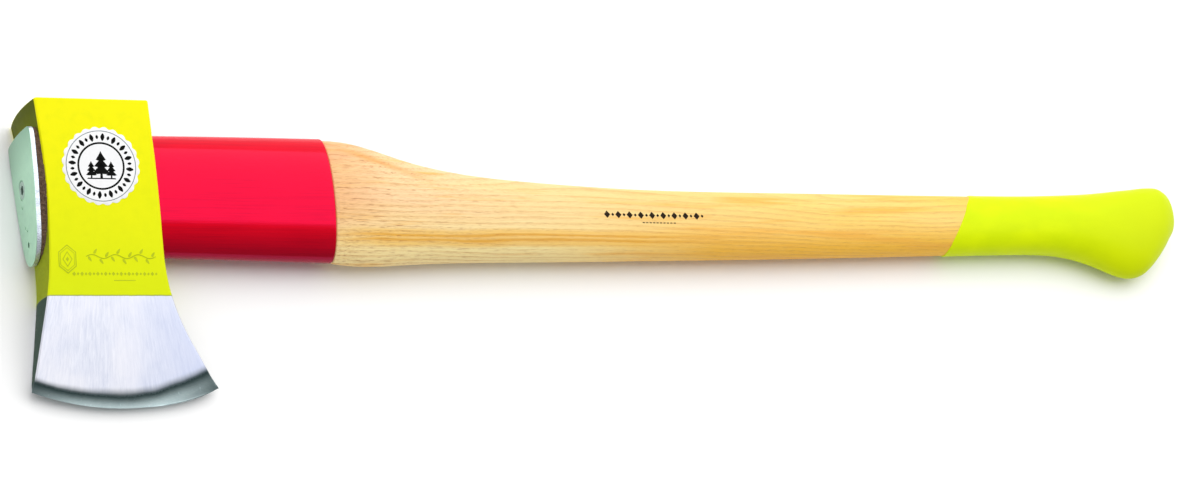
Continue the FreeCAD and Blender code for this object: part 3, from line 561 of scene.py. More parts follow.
def build_head():
    rnd = random.Random(11)
    NU, NW = 72, 20
    # parameter v: 0 at the edge, 1 at the poll. The first rows follow the edge arc.
    vs = ([0.0, 0.0015, 0.004, 0.008] + list(np.linspace(0.012, 0.115, 26)) + list(np.linspace(0.125, 0.35, 36)[:-1])
          + [0.3505, 0.353] + list(np.linspace(0.36, 0.97, 64)) + list(np.linspace(0.977, 0.9938, 5)))
    xl0, xr0 = -0.95, 108.95

    def arc_y(x):
        return EDGE_CY - math.sqrt(max(EDGE_R ** 2 - (x - EDGE_CX) ** 2, 0))
    rows = []; flank = []; bev = []
    edge_len = POLL_Y + 125.0
    V = []; att_f = []; att_b = []

    def corner_r(h):
        return min(1.1, 0.3 * h)

    def point(u, v, inset=0.0, zed=1.0):
        # u in 0..1 across, v along
        x_e = xl0 + (xr0 - xl0) * u
        y_e = arc_y(x_e)
        y_s = -126.1 + v * (POLL_Y + 126.1)
        w = 1 - smooth(v / 0.34)
        # blend rows from the arc to straight lines
        y = y_s + (y_e + 126.1) * w * (1 - v)
        xl, xr = XL(y), XR(y)
        x_str = xl + (xr - xl) * u
        x = x_str * (1 - w) + (x_e + (x_str - x_e) * 0.0) * w if v < 0.34 else x_str
        if 0 < v < 0.34:
            # keep the flanks on their outline
            x = x + ((xl - (xl * (1 - w) + xl0 * w)) * (1 - u) + (xr - (xr * (1 - w) + xr0 * w)) * u)
        return x, y
    all_rings = []
    for v in vs:
        ring = []
        # near surface left to right, right wall near to far, far surface right to left, left wall far to near
        us = [0.5 - 0.5 * math.cos(math.pi * k / NU) for k in range(NU + 1)]
        us = [0.35 * a + 0.65 * (k / NU) for k, a in enumerate(us)]
        pts = [point(u, v) for u in us]
        hs = [half_z(x, y)[0] for x, y in pts]
        # crown of the end faces
        hL, hR = hs[0], hs[-1]
        crown_l = CROWN(pts[0][1]); crown_r = 0.5 * smooth((v - 0.30) / 0.18)
        rc = corner_r(min(hL, hR)) if v > 0.01 else 0.0
        near = []
        for (x, y), h, u in zip(pts, hs, us):
            dl, dr = x - pts[0][0], pts[-1][0] - x
            d = min(dl, dr)
            z = h
            if rc > 0 and d < rc:
                z = h - (rc - math.sqrt(max(rc * rc - (rc - d) ** 2, 0)))
            near.append((x, y, z, 0.0, d))
        ring.extend(near)
        # right wall
        def wall(side, pt, h):
            out = []
            crown = crown_r if side > 0 else crown_l
            zc = max(h - rc, 0.0)
            for k in range(1, NW):
                t = k / NW
                z = zc * math.cos(math.pi * t) if h > 0.3 else h * (1 - 2 * t)
                zn = z / max(h, 1e-6)
                bulge = crown * (1 - (z / max(zc, 1e-6)) ** 2) if zc > 0 else 0
                out.append((pt[0] + side * bulge, pt[1], z, 1.0, 0))
            return out
        ring.extend(wall(+1, pts[-1], hR))
        ring.extend([(x, y, -z, 0.0, d) for (x, y, z, _, d) in reversed(near)])
        ring.extend([(p[0], p[1], -p[2], p[3], p[4]) for p in wall(-1, pts[0], hL)])
        all_rings.append(ring)
    # the poll: roll the rim over and close with shrinking rings
    base = all_rings[-1]
    y0 = base[0][1]
    R = POLL_Y + 0.0 - y0
    cx = sum(p[0] for p in base) / len(base)
    top_rings = []
    for k in range(1, 8):
        a = math.pi / 2 * k / 7
        dy, ins = R * math.sin(a), R * (1 - math.cos(a)) * 0.9
        h0 = max(p[2] for p in base)
        grow = (POLL_HALF - GRIND_HALF) / (POLL_Y - GRIND_Y) * dy
        ring = []
        for p in base:
            dx = p[0] - cx
            sx = max(abs(dx) - ins * min(1, abs(dx) / 25), 0) * (1 if dx > 0 else -1)
            zz = p[2]
            sz = (abs(zz) * (1 + grow / h0) - ins * min(1, abs(zz) / (h0 * 0.7))) * (1 if zz > 0 else -1)
            ring.append((cx + sx, y0 + dy, sz, 0.0 if k > 5 else p[3], p[4]))
        top_rings.append(ring)
    last = top_rings[-1]
    for s in (0.985, 0.95, 0.85, 0.65, 0.4, 0.15):
        crown = 0.55 * (1 - s * s)
        top_rings.append([(cx + (p[0] - cx) * s, POLL_Y + crown, p[2] * s, 0.0, 9) for p in last])
    all_rings += top_rings
    n = len(all_rings[0])
    for r in all_rings:
        for p in r:
            V.append((p[0], p[1], p[2])); att_f.append(p[3])
            _, w, b = half_z(p[0], p[1])
            att_b.append(max(-9.0, min(9.0, (w - b) / HONE_TAN(p[0]))) if p[1] < -80 else -9.0)
    F = []
    for k in range(len(all_rings) - 1):
        a, b = k * n, (k + 1) * n
        for i in range(n):
            j = (i + 1) % n
            F.append((a + i, a + j, b + j, b + i))
    V.append((cx, POLL_Y + 0.56, 0.0)); att_f.append(0.0); att_b.append(-9.0)
    ci = len(V) - 1; o = (len(all_rings) - 1) * n
    F.extend([(ci, o + i, o + (i + 1) % n) for i in range(n)])
    # close the land of the edge
    F.append(tuple(reversed(range(n)))) if False else None
    F = [f for f in F if f]
    for i in range(NU):
        a, b = i, i + 1
        c, d = NU + NW - 1 + 1 + (NU - i), NU + NW - 1 + 1 + (NU - i - 1)
        F.append((b, a, c, d))
    # forging unevenness: low waves, under a fifth of a millimetre
    W = []
    for (x, y, z), f in zip(V, att_f):
        k = smooth((y - GRIND_Y - 1.0) / 8.0) * 0.16
        q = Vector((x * 0.045, y * 0.045, z * 0.045 + 3))
        d = noise.noise(q) * k + noise.noise(q * 3.1) * k * 0.35
        if abs(z) > 0.5:
            z += d * (1 if z > 0 else -1) * (1 - f)
        x += d * f * (1 if x > 42 else -1) * 0.8
        W.append((x, y, z))
    me_f = att_f; me_b = att_b
    me = bpy.data.meshes.new("axe_head_forged")
    me.from_pydata(W, [], F)
    a1 = me.attributes.new("flank", 'FLOAT', 'POINT'); a1.data.foreach_set("value", me_f)
    a2 = me.attributes.new("bevel", 'FLOAT', 'POINT'); a2.data.foreach_set("value", me_b)
    me.transform(PLACE)
    me.materials.append(M_HEAD)
    ob = bpy.data.objects.new("axe_head_forged", me)
    bpy.context.scene.collection.objects.link(ob)
    bm = bmesh.new(); bm.from_mesh(me)
    bmesh.ops.remove_doubles(bm, verts=bm.verts, dist=1e-7)
    bmesh.ops.dissolve_degenerate(bm, edges=bm.edges, dist=1e-7)
    bmesh.ops.recalc_face_normals(bm, faces=bm.faces)
    for f in bm.faces:
        f.smooth = True
    bm.to_mesh(me); bm.free()
    return ob


def oval_ring(x, cy, a, b, n=96, p=2.0, phase=0.0):
    out = []
    for k in range(n):
        t = 2 * math.pi * k / n + phase
        c, s = math.cos(t), math.sin(t)
        out.append((x, cy + a * math.copysign(abs(s) ** (2 / p), s), b * math.copysign(abs(c) ** (2 / p), c)))
    return out


fS = [spline3([r[0] for r in SLEEVE], [r[i] for r in SLEEVE]) for i in (1, 2, 3)]
fW = [spline3([r[0] for r in WOOD], [r[i] for r in WOOD]) for i in (1, 2, 3)]

head = build_head()
# the eye, with a fine clearance around the sleeve and a broken edge at its mouth
eye_rows = [oval_ring(-12, fS[0](0), fS[1](0) + 0.06, fS[2](0) + 0.06, 128)]
for x in (5, 20, 40, 60, 76.2):
    eye_rows.append(oval_ring(x, fS[0](x), fS[1](x) + 0.06, fS[2](x) + 0.06, 128))
for x, g in ((77.6, 0.25), (79.5, 1.3), (84, 1.6), (92, 1.6)):
    eye_rows.append(oval_ring(x, fS[0](x), fS[1](x) + g, fS[2](x) + g, 128))
cut = rings("eye_cutter", eye_rows, mats=[M_HEAD])
boolean(head, cut)
me = head.data
for p in me.polygons:
    p.use_smooth = True
me.set_sharp_from_angle(angle=math.radians(38))
finish_piece(head, "axe_head")


# ------------------------------------------------------------------ sleeve
def build_sleeve():
    R = []
    n = 160
    def row(x, g):
        return oval_ring(x, fS[0](x), fS[1](x) + g, fS[2](x) + g, n)
    xe = SLEEVE_X1
    R.append(row(SLEEVE_X0, -SLEEVE_WALL))
    R.append(row(SLEEVE_X0, -0.3)); R.append(row(SLEEVE_X0 + 0.3, 0.0))
    for x in np.linspace(18, xe - 1.2, 60):
        R.append(row(float(x), 0.0))
    for k in range(1, 7):
        a = math.pi / 2 * k / 6
        R.append(row(xe - 0.9 + 0.9 * math.sin(a), -0.9 + 0.9 * math.cos(a)))
    R.append(row(xe, -1.2)); R.append(row(xe - 0.25, -SLEEVE_WALL))
    for x in np.linspace(xe - 2, SLEEVE_X0 + 1, 24):
        R.append(row(float(x), -SLEEVE_WALL))
    V = [p for r in R for p in r]; F = []
    m = len(R)
    for k in range(m):
        a, b = k * n, ((k + 1) % m) * n
        for i in range(n):
            j = (i + 1) % n
            F.append((a + i, a + j, b + j, b + i))
    # slight draw marks: the tube is not perfectly true
    W = []
    for (x, y, z) in V:
        t = math.atan2(z / 15.5, y / 37.5)
        d = 0.05 * math.sin(3 * t + 0.012 * x) + 0.035 * noise.noise(Vector((x * 0.012, 3 * math.cos(t), 3 * math.sin(t))))
        W.append((x, y + d * math.cos(t), z + d * math.sin(t)))
    return mesh_piece("protective_sleeve_tube", W, F, [M_SLEEVE], sharp_deg=50)


finish_piece(build_sleeve(), "protective_sleeve")


# ------------------------------------------------------------------ handle
def wood_row(x, g=0.0, n=144):
    cy, a, b = fW[0](x), fW[1](x), fW[2](x)
    # fuller, hand-filling section in the middle of the handle
    p = 2.0 + 0.22 * smooth((x - 230) / 120) * (1 - smooth((x - 690) / 60))
    return oval_ring(x, cy, a + g, b + g, n, p)


def build_handle():
    n = 144
    R = []
    x0 = SLEEVE_X1
    # inside the sleeve and eye
    for x in (11.4, 40, 90, 140, 180, x0 - 0.4):
        R.append(oval_ring(x, fS[0](x), fS[1](x) - SLEEVE_WALL - 0.05, fS[2](x) - SLEEVE_WALL - 0.05, n))
    # shoulder at the end of the sleeve
    R.append(oval_ring(x0 + 0.05, fW[0](x0), fW[1](x0) - 1.9, fW[2](x0) - 1.9, n))
    for k in range(0, 6):
        a = math.pi / 2 * k / 5
        x = x0 + 0.1 + 1.1 * (1 - math.cos(a))
        cy, aa, bb = fW[0](x), fW[1](x), fW[2](x)
        g = -1.1 + 1.1 * math.sin(a)
        R.append(oval_ring(x, cy, aa + g, bb + g, n))
    xs = list(np.linspace(x0 + 2.2, 300, 54)) + list(np.linspace(304, 680, 90)) + list(np.linspace(684, 790, 56))
    for x in xs:
        R.append(wood_row(float(x), 0.0, n))
    for x in (792, 794, 795.8, 797.2, 798.3, 799.2, 799.8, 800.1):
        R.append(wood_row(float(x), 0.0, n))
    ob = rings("handle_ash", R, mats=[M_WOOD])
    return ob


handle = build_handle()
finish_piece(handle, "handle")


# ------------------------------------------------------------------ dip coat
def build_coat():
    n = 160
    R = []
    rr = random.Random(5)
    slope = math.tan(math.radians(DIP_SLANT))

    def xdip(y, z, t):
        wav = 0.55 * noise.noise(Vector((math.cos(t) * 1.7, math.sin(t) * 1.7, 4.2))) + 0.25 * noise.noise(Vector((math.cos(t) * 5, math.sin(t) * 5, 1.2)))
        return DIP_X + (y - DIP_Y) * slope - 2.2 * max(z, 0) / 13.0 + wav

    def ring_at(s, g):
        # s: distance behind the dip line, in mm
        out = []
        for k in range(n):
            t = 2 * math.pi * k / n
            x = 626.0
            for _ in range(6):
                cy, a, b = fW[0](x), fW[1](x), fW[2](x)
                p = 2.0 + 0.22 * smooth((x - 230) / 120) * (1 - smooth((x - 690) / 60))
                c, sn = math.cos(t), math.sin(t)
                y = cy + (a + g) * math.copysign(abs(sn) ** (2 / p), sn)
                z = (b + g) * math.copysign(abs(c) ** (2 / p), c)
                w = 1 - smooth(s / 70.0)
                x = (xdip(y, z, t) + s) * w + (DIP_X + s) * (1 - w)
            out.append((x, y, z))
        return out
    th = 0.45
    R.append(ring_at(0.15, -0.25)); R.append(ring_at(0.0, 0.0))
    for k in range(1, 6):
        a = math.pi / 2 * k / 5
        # a slightly heavier bead along the dip line
        R.append(ring_at(0.9 * (1 - math.cos(a)), (th + 0.12) * math.sin(a)))
    for s, g in ((1.8, th + 0.12), (3.0, th + 0.08), (4.5, th + 0.03), (6.5, th)):
        R.append(ring_at(s, g))
    for s in np.linspace(9, 70, 26):
        R.append(ring_at(float(s), th))
    for x in np.linspace(DIP_X + 73, 790, 56):
        R.append(wood_row(float(x), th, n))
    for x, g in ((792, th), (794, th), (795.8, th), (797.2, th), (798.3, th + 0.02), (799.2, th + 0.05), (799.8, th + 0.1)):
        R.append(wood_row(float(x), g, n))
    last = R[-1]
    c = np.mean(np.array(last), 0)
    for s, dx in ((0.85, 0.28), (0.6, 0.52), (0.3, 0.66)):
        R.append([(799.8 + dx, c[1] + (q[1] - c[1]) * s, c[2] + (q[2] - c[2]) * s) for q in last])
    ob = rings("grip_dip_coat_skin", R, closed_start=False, closed_end=True, mats=[M_DIP])
    return ob


finish_piece(build_coat(), "grip_dip_coat")


# ------------------------------------------------------------------ plate, bedding, screw, pin
def on_seat(p):
    a = math.radians(PLATE_TILT)
    x, y, z = p
    return (x * math.cos(a) - y * math.sin(a) + PLATE_X, x * math.sin(a) + y * math.cos(a), z)


def bent(d, y, z):
    """Point on the bent sheet, d outside its inner face."""
    r = PLATE_BEND_R
    return (r - math.sqrt(max((r + d) ** 2 - z * z, 0.0)), y, z)


def shield(inset=0.0, n=48):
    """Outline of the plate in the (y, z) plane, evenly spaced points."""
    i = inset
    top, tip = PLATE_TOP - i, PLATE_TIP + i
    side = [(top, 19.2 - i), (top - 0.6, 20.4 - i), (top - 1.9, 21.1 - i), (top - 5.0, 21.6 - i), (21.3, 21.3 - i), (3.6, 19.9 - i),
            (-13.3, 17.2 - i), (-30.0, 13.4 - i), (-37.4, 9.2 - i * 0.8), (tip + 1.0, 4.6 - i * 0.4), (tip, 0.0)]
    side += [(y, -z) for y, z in reversed(side[:-1])]
    P = np.array(side, float)
    s_ = np.r_[0, np.cumsum(np.hypot(*np.diff(P, axis=0).T))]
    fy, fz = spline3(s_, P[:, 0]), spline3(s_, P[:, 1])
    u_ = np.linspace(0, s_[-1], 600)
    C = [(float(fy(t)), float(fz(t))) for t in u_]
    C += [(top, -19.2 + i + (2 * (19.2 - i)) * k / 60) for k in range(1, 60)]
    P = np.array(C + [C[0]]); seg = np.hypot(*np.diff(P, axis=0).T); s2 = np.r_[0, np.cumsum(seg)]
    u2 = np.linspace(0, s2[-1], 4 * n + 1)[:-1]
    return list(zip(np.interp(u2, s2, P[:, 0]), np.interp(u2, s2, P[:, 1])))


def build_plate():
    base = shield(0.0)
    n = len(base)
    cy = -2.0
    ln = [math.hypot(y - cy, z) for y, z in base]

    def inner(mm):
        # outline moved inwards by about mm
        return [((y - cy) * (1 - mm / L) + cy, z * (1 - mm / L)) for (y, z), L in zip(base, ln)]
    jag = [0.09 * noise.noise(Vector((i * 0.33, 2.0, 1.0))) + 0.06 * noise.noise(Vector((i * 1.3, 5.0, 1.0))) for i in range(n)]

    def ring(mm, d, rough=0.0):
        pts = [((y - cy) * (1 + (jag[i] * rough - mm) / ln[i]) + cy, z * (1 + (jag[i] * rough - mm) / ln[i])) for i, (y, z) in enumerate(base)]
        return [on_seat(bent(d + (0.15 * rough * jag[i] if callable(d) is False else 0), y, z)) for i, (y, z) in enumerate(pts)]
    T = PLATE_T
    R = [ring(14.0, 0.0), ring(7.0, 0.0), ring(1.0, 0.0), ring(0.25, 0.0), ring(0.02, 0.16, 1.0), ring(0.0, 0.5, 1.6), ring(-0.03, 1.0, 1.6),
         ring(0.0, 1.5, 1.3), ring(0.0, 2.0, 1.1), ring(0.0, T - 0.62, 0.7)]
    k_side = len(R) - 1
    for a in (0, 22, 45, 68, 90):
        t = math.radians(a)
        R.append(ring(0.5 * (1 - math.cos(t)), T - 0.5 + 0.5 * math.sin(t), 0.5 * (1 - a / 90.0)))
    for mm in (1.0, 1.8, 3.2, 5.0, 7.5, 10.5):
        R.append(ring(mm, T))
    # the middle: shrink towards the centre line in steps
    last = inner(10.5)
    for k in (0.7, 0.4, 0.15):
        R.append([on_seat(bent(T, (y - cy) * k + cy, z * k)) for y, z in last])
    V = [p for r in R for p in r]; F = []; FM = []
    for k in range(len(R) - 1):
        a, b = k * n, (k + 1) * n
        for i in range(n):
            j = (i + 1) % n
            F.append((a + i, a + j, b + j, b + i)); FM.append(1 if 2 <= k <= k_side else 0)
    V.append(on_seat(bent(0.0, cy, 0.0))); c0 = len(V) - 1
    for i in range(n):
        F.append((c0, (i + 1) % n, i)); FM.append(0)
    V.append(on_seat(bent(T, cy, 0.0))); c1 = len(V) - 1; o = (len(R) - 1) * n
    for i in range(n):
        F.append((c1, o + i, o + (i + 1) % n)); FM.append(0)
    ob = mesh_piece("safety_plate_shield", V, F, [M_ZINC, M_SHEAR], FM)

    # countersink for the screw, hole for the pin, plain punch marks
    def lathe(name, y, z, prof, m=48):
        rows = []
        for x, r in prof:
            rows.append([on_seat((x, y + r * math.cos(2 * math.pi * k / m), z + r * math.sin(2 * math.pi * k / m))) for k in range(m)])
        return rings(name, rows, mats=[M_ZINC])
    top = -T
    boolean(ob, lathe("c1", SCREW_Y, 0.0, [(top - 3, 6.1), (top - 0.02, 5.85), (top + 0.75, 5.62), (top + 3.02, 2.6), (4, 2.6)]))
    boolean(ob, lathe("c2", PIN_Y, 0.0, [(top - 3, 1.75), (top + 0.45, 1.62), (4, 1.55)], 32))
    for yy, zz, rr_ in ((-6.6, -3.4, 0.9), (-19.0, -1.6, 0.8), (-21.4, 1.0, 0.7)):
        boolean(ob, lathe("c3", yy, zz, [(top - 2, rr_), (top + 0.35, rr_), (top + 0.62, rr_ * 0.4)], 24))
    for p in ob.data.polygons:
        p.use_smooth = True
    ob.data.set_sharp_from_angle(angle=math.radians(30))
    return ob


finish_piece(build_plate(), "safety_plate")


def build_bedding():
    base = shield(0.35)
    n = len(base); cy = -2.0
    rows = []

    def ring(d, mm, amp, ph):
        out = []
        for i, (y, z) in enumerate(base):
            L = math.hypot(y - cy, z)
            j = amp * (noise.noise(Vector((y * 0.5, z * 0.5, ph))) + 0.7 * noise.noise(Vector((y * 1.7, z * 1.7, ph + 4))))
            kk = 1 + (j - mm) / L
            out.append(on_seat(bent(d, (y - cy) * kk + cy, z * kk)))
        return out
    rows.append(ring(-0.02, 12.0, 0, 0))
    rows.append(ring(-0.02, 0.3, 0.2, 1))
    for k, d in enumerate((-0.25, -0.6, -1.0, -1.4, -1.8, -2.2, -2.6, -3.0, -3.5, -4.0)):
        rows.append(ring(d, 0.0, 0.62, 1.3 + 0.55 * k))
    rows.append(ring(-4.6, 0.5, 0.3, 8)); rows.append(ring(-4.6, 12.0, 0.0, 9))
    return rings("plate_bedding_fibre", rows, mats=[M_BED], smooth_shade=False)


bed = build_bedding()
finish_piece(bed, "plate_bedding")


def build_screw():
    top = -PLATE_T + 0.12
    n = 48
    def circ(x, r):
        return [on_seat((x, SCREW_Y + r * math.cos(2 * math.pi * k / n), r * math.sin(2 * math.pi * k / n))) for k in range(n)]
    def hexa(x, af):
        out = []
        for k in range(n):
            t = 2 * math.pi * k / n
            a = (t % (math.pi / 3)) - math.pi / 6
            r = af / 2 / math.cos(a)
            out.append(on_seat((x, SCREW_Y + r * math.cos(t), r * math.sin(t))))
        return out
    rows = [circ(top + 57.5, 0.6), circ(top + 53, 2.45), circ(top + 3.2, 2.45), circ(top + 2.9, 2.6), circ(top + 0.95, 5.15), circ(top + 0.7, 5.42),
            circ(top + 0.35, 5.48), circ(top + 0.12, 5.36), circ(top + 0.02, 5.1), circ(top - 0.05, 4.6), circ(top - 0.08, 4.0),
            hexa(top - 0.06, 5.9), hexa(top + 0.25, 5.2), hexa(top + 2.0, 5.05), hexa(top + 2.3, 3.6), hexa(top + 2.45, 1.5)]
    V = [p for r in rows for p in r]; F = []; FM = []
    for k in range(len(rows) - 1):
        a, b = k * n, (k + 1) * n
        for i in range(n):
            j = (i + 1) % n
            F.append((a + i, a + j, b + j, b + i)); FM.append(1 if k >= 12 else 0)
    for idx, row in ((0, rows[0]), (len(rows) - 1, rows[-1])):
        V.append(tuple(np.mean(np.array(row), 0))); c = len(V) - 1
        for i in range(n):
            F.append((c, idx * n + i, idx * n + (i + 1) % n)); FM.append(1 if idx else 0)
    return mesh_piece("plate_screw_socket_head", V, F, [M_SCREW, M_SOCKET], FM, sharp_deg=35)


finish_piece(build_screw(), "plate_screw")


def build_pin():
    top = -PLATE_T + 0.5
    n = 28
    rows = []
    for x, r in ((25.5, 0.9), (25.0, 1.4), (0.6, 1.46), (0.25, 1.40), (0.08, 1.2), (0.0, 0.8), (0.02, 0.35)):
        rows.append([on_seat((top + x, PIN_Y + r * math.cos(2 * math.pi * k / n), r * math.sin(2 * math.pi * k / n))) for k in range(n)])
    return rings("locking_pin_rivet", rows, mats=[M_SOCKET], sharp_deg=40)


finish_piece(build_pin(), "locking_pin")


# ------------------------------------------------------------------ near cheek: label and relief
def on_cheek(u, v, h=0.0):
    """Point on the near cheek: u along X, v up the slope towards the poll from the label's height, h off the face."""
    half = POLL_HALF + (POLL_HALF - GRIND_HALF) / (POLL_Y - GRIND_Y) * (LABEL_Y - POLL_Y)
    c, s = math.cos(CHEEK), math.sin(CHEEK)
    return (LABEL_X + u, LABEL_Y + v * c - h * s, half + v * s + h * c)


def flat_shape(name, loops, h0, h1, mats, mat_index=0, bevel=0.0):
    """Thin raised shape on the cheek. loops: list of closed outlines (u, v) without holes."""
    V = []; F = []; FM = []
    for loop in loops:
        o = len(V); n = len(loop)
        for (u, v) in loop:
            V.append(on_cheek(u, v, h0))
        cu = sum(p[0] for p in loop) / n; cv = sum(p[1] for p in loop) / n
        for (u, v) in loop:
            V.append(on_cheek(u + (cu - u) * bevel, v + (cv - v) * bevel, h1))
        for i in range(n):
            j = (i + 1) % n
            F.append((o + i, o + j, o + n + j, o + n + i)); FM.append(mat_index)
        F.append(tuple(o + n + i for i in range(n))); FM.append(mat_index)
        F.append(tuple(o + i for i in reversed(range(n)))); FM.append(mat_index)
    return V, F, FM


def annulus(r0, r1, h0, h1, n=144, wob=None):
    V = []; F = []
    for k in range(n):
        t = 2 * math.pi * k / n
        for r, h in ((r0, h0), (r1, h0), (r1, h1), (r0, h1)):
            V.append(on_cheek(r * math.cos(t), r * math.sin(t), h))
    for k in range(n):
        a, b = 4 * k, 4 * ((k + 1) % n)
        for i in range(4):
            j = (i + 1) % 4
            F.append((a + i, a + j, b + j, b + i))
    return V, F


def merge(parts):
    V = []; F = []; FM = []
    for v, f, m in parts:
        o = len(V); V.extend(v)
        F.extend([tuple(i + o for i in q) for q in f])
        FM.extend(m if isinstance(m, list) else [m] * len(f))
    return V, F, FM


def build_label():
    parts = []
    lob, R = 24, LABEL_D / 2
    n = lob * 10
    def rim(k):
        t = 2 * math.pi * k / n
        s = 0.5 - 0.5 * math.cos(lob * t)
        return R - 0.75 * (1 - s) ** 1.5 * 1.4 + 0.12 * noise.noise(Vector((math.cos(t) * 3, math.sin(t) * 3, 1)))
    rows = []
    rim_r = [rim(k) for k in range(n)]
    def row(f, h, ab=0.0):
        return [on_cheek((rim_r[k] - ab) * f * math.cos(2 * math.pi * k / n), (rim_r[k] - ab) * f * math.sin(2 * math.pi * k / n), h) for k in range(n)]
    rws = [row(1, 0.02), row(1, 0.12), row(1, 0.16, 0.08), row(0.86, 0.17), row(0.55, 0.17), row(0.2, 0.17)]
    V = [p for r in rws for p in r]; F = []
    for k in range(len(rws) - 1):
        a, b = k * n, (k + 1) * n
        for i in range(n):
            j = (i + 1) % n
            F.append((a + i, a + j, b + j, b + i))
    V.append(on_cheek(0, 0, 0.17)); c = len(V) - 1; o = (len(rws) - 1) * n
    F.extend([(c, o + i, o + (i + 1) % n) for i in range(n)])
    V.append(on_cheek(0, 0, 0.02)); c = len(V) - 1
    F.extend([(c, (i + 1) % n, i) for i in range(n)])
    parts.append((V, F, 0))
    ob = mesh_piece("round_label_film", *merge(parts)[:2], [M_WHITE])
    # print: rings, dots and a plain tree
    parts = []
    v, f = annulus(20.3, 20.72, 0.165, 0.195); parts.append((v, f, 1))
    v, f = annulus(12.85, 13.95, 0.165, 0.2); parts.append((v, f, 0))
    v, f = annulus(0.02, 12.95, 0.165, 0.185); parts.append((v, f, 2))
    for k in range(32):
        t = 2 * math.pi * (k + 0.5) / 32
        big = (k % 2 == 1)
        cx, cy = 17.0 * math.cos(t), 17.0 * math.sin(t)
        # small leaf-like lozenges pointing outwards
        L, W = (2.25, 1.25) if big else (1.25, 0.85)
        loop = []
        for q in range(12):
            a = 2 * math.pi * q / 12
            e, g = L * math.cos(a), W * math.sin(a) * (1 - 0.35 * abs(math.cos(a)))
            loop.append((cx + e * math.cos(t) - g * math.sin(t), cy + e * math.sin(t) + g * math.cos(t)))
        V, F, FM = flat_shape("l", [loop], 0.165, 0.2, None, 0)
        parts.append((V, F, 0))
    # a group of three plain conifers on a ground line
    def conifer(ox, oy, k, h0):
        for y0, w, h in ((-4.6, 4.6, 5.6), (-1.0, 3.7, 4.8), (2.4, 2.7, 4.6)):
            loop = [(-w, y0), (-w * 0.5, y0 - 0.5), (0, y0 - 0.3), (w * 0.5, y0 - 0.5), (w, y0), (w * 0.33, y0 + h * 0.6), (0, y0 + h), (-w * 0.33, y0 + h * 0.6)]
            V, F, FM = flat_shape("t", [[(ox + a * k, oy + b * k) for a, b in loop]], 0.18, h0, None, 0); parts.append((V, F, 0))
        V, F, FM = flat_shape("t", [[(ox + a * k, oy + b * k) for a, b in ((-0.7, -7.4), (0.7, -7.4), (0.6, -4.4), (-0.6, -4.4))]], 0.18, h0, None, 0)
        parts.append((V, F, 0))
    conifer(0.0, 0.9, 1.12, 0.210)
    conifer(-5.9, -2.1, 0.70, 0.207)
    conifer(5.9, -2.1, 0.70, 0.204)
    V, F, FM = flat_shape("t", [[(-8.6, -7.7), (8.6, -7.7), (8.0, -7.0), (-8.0, -7.0)]], 0.18, 0.201, None, 0); parts.append((V, F, 0))
    V, F, FM = merge(parts)
    pr = mesh_piece("round_label_print", V, F, [M_INK, M_RINGINK, M_GREY], FM, smooth_shade=False)
    return ob, pr


lab, prt = build_label()
finish_piece(lab, "round_label")
finish_piece(prt, None)


def build_relief():
    """Faint raised ornament low on the cheek: a lozenge in a hexagon, a vine, a row of lozenges, a fine rule."""
    parts = []
    def add(loop, h=0.11):
        V, F, FM = flat_shape("r", [loop], -0.05, h, None, 0, 0.04); parts.append((V, F, 0))
    def stroke(pts, w, h=0.11):
        for a, b in zip(pts, pts[1:]):
            dx, dy = b[0] - a[0], b[1] - a[1]; L = math.hypot(dx, dy) or 1
            nx, ny = -dy / L * w / 2, dx / L * w / 2
            ex, ey = dx / L * w * 0.3, dy / L * w * 0.3
            add([(a[0] - ex + nx, a[1] - ey + ny), (a[0] - ex - nx, a[1] - ey - ny), (b[0] + ex - nx, b[1] + ey - ny), (b[0] + ex + nx, b[1] + ey + ny)], h)
    # plain upright hexagon with a lozenge in it
    cx, cy = -22.5, -54.2
    def ring_of(n, r, st, ph):
        return [(cx + r * 0.86 * math.sin(ph + 2 * math.pi * k / n), cy + r * st * math.cos(ph + 2 * math.pi * k / n)) for k in range(n + 1)]
    stroke(ring_of(6, 6.6, 1.22, 0.0), 0.55)
    stroke(ring_of(6, 5.4, 1.22, 0.0), 0.35)
    stroke(ring_of(4, 3.1, 1.35, 0.0), 0.5)
    add([(cx - 1.0, cy), (cx, cy - 1.5), (cx + 1.0, cy), (cx, cy + 1.5)])
    # a low vine with pairs of leaves
    vine = [(-11.5 + 41.0 * k / 60, -52.6 + 1.15 * math.sin(2 * math.pi * k / 20)) for k in range(61)]
    stroke(vine, 0.5)
    for q in range(12):
        x0 = -10.0 + q * 3.4
        y0 = -52.6 + 1.15 * math.sin(2 * math.pi * (x0 + 11.5) / 41.0 * 3)
        sg = 1 if q % 2 else -1
        lf = []
        for k in range(12):
            a = 2 * math.pi * k / 12
            e, g = 1.75 * math.cos(a), 0.72 * math.sin(a) * (1 - 0.4 * math.cos(a))
            th = sg * 1.0
            lf.append((x0 + 0.6 + e * math.cos(th) - g * math.sin(th), y0 + sg * 2.2 + e * math.sin(th) + g * math.cos(th)))
        add(lf)
    # row of lozenges and a rule
    for q in range(22):
        x0 = -19.0 + q * 2.3
        w = 0.8 if q % 2 else 1.1
        add([(x0 - w, -62.6), (x0, -62.6 - w * 1.15), (x0 + w, -62.6), (x0, -62.6 + w * 1.15)])
    stroke([(4.0, -66.4), (17.0, -66.4)], 0.5)
    V, F, FM = merge(parts)
    return mesh_piece("cheek_relief", V, F, [M_RELIEF], FM, smooth_shade=False)


finish_piece(build_relief(), None)


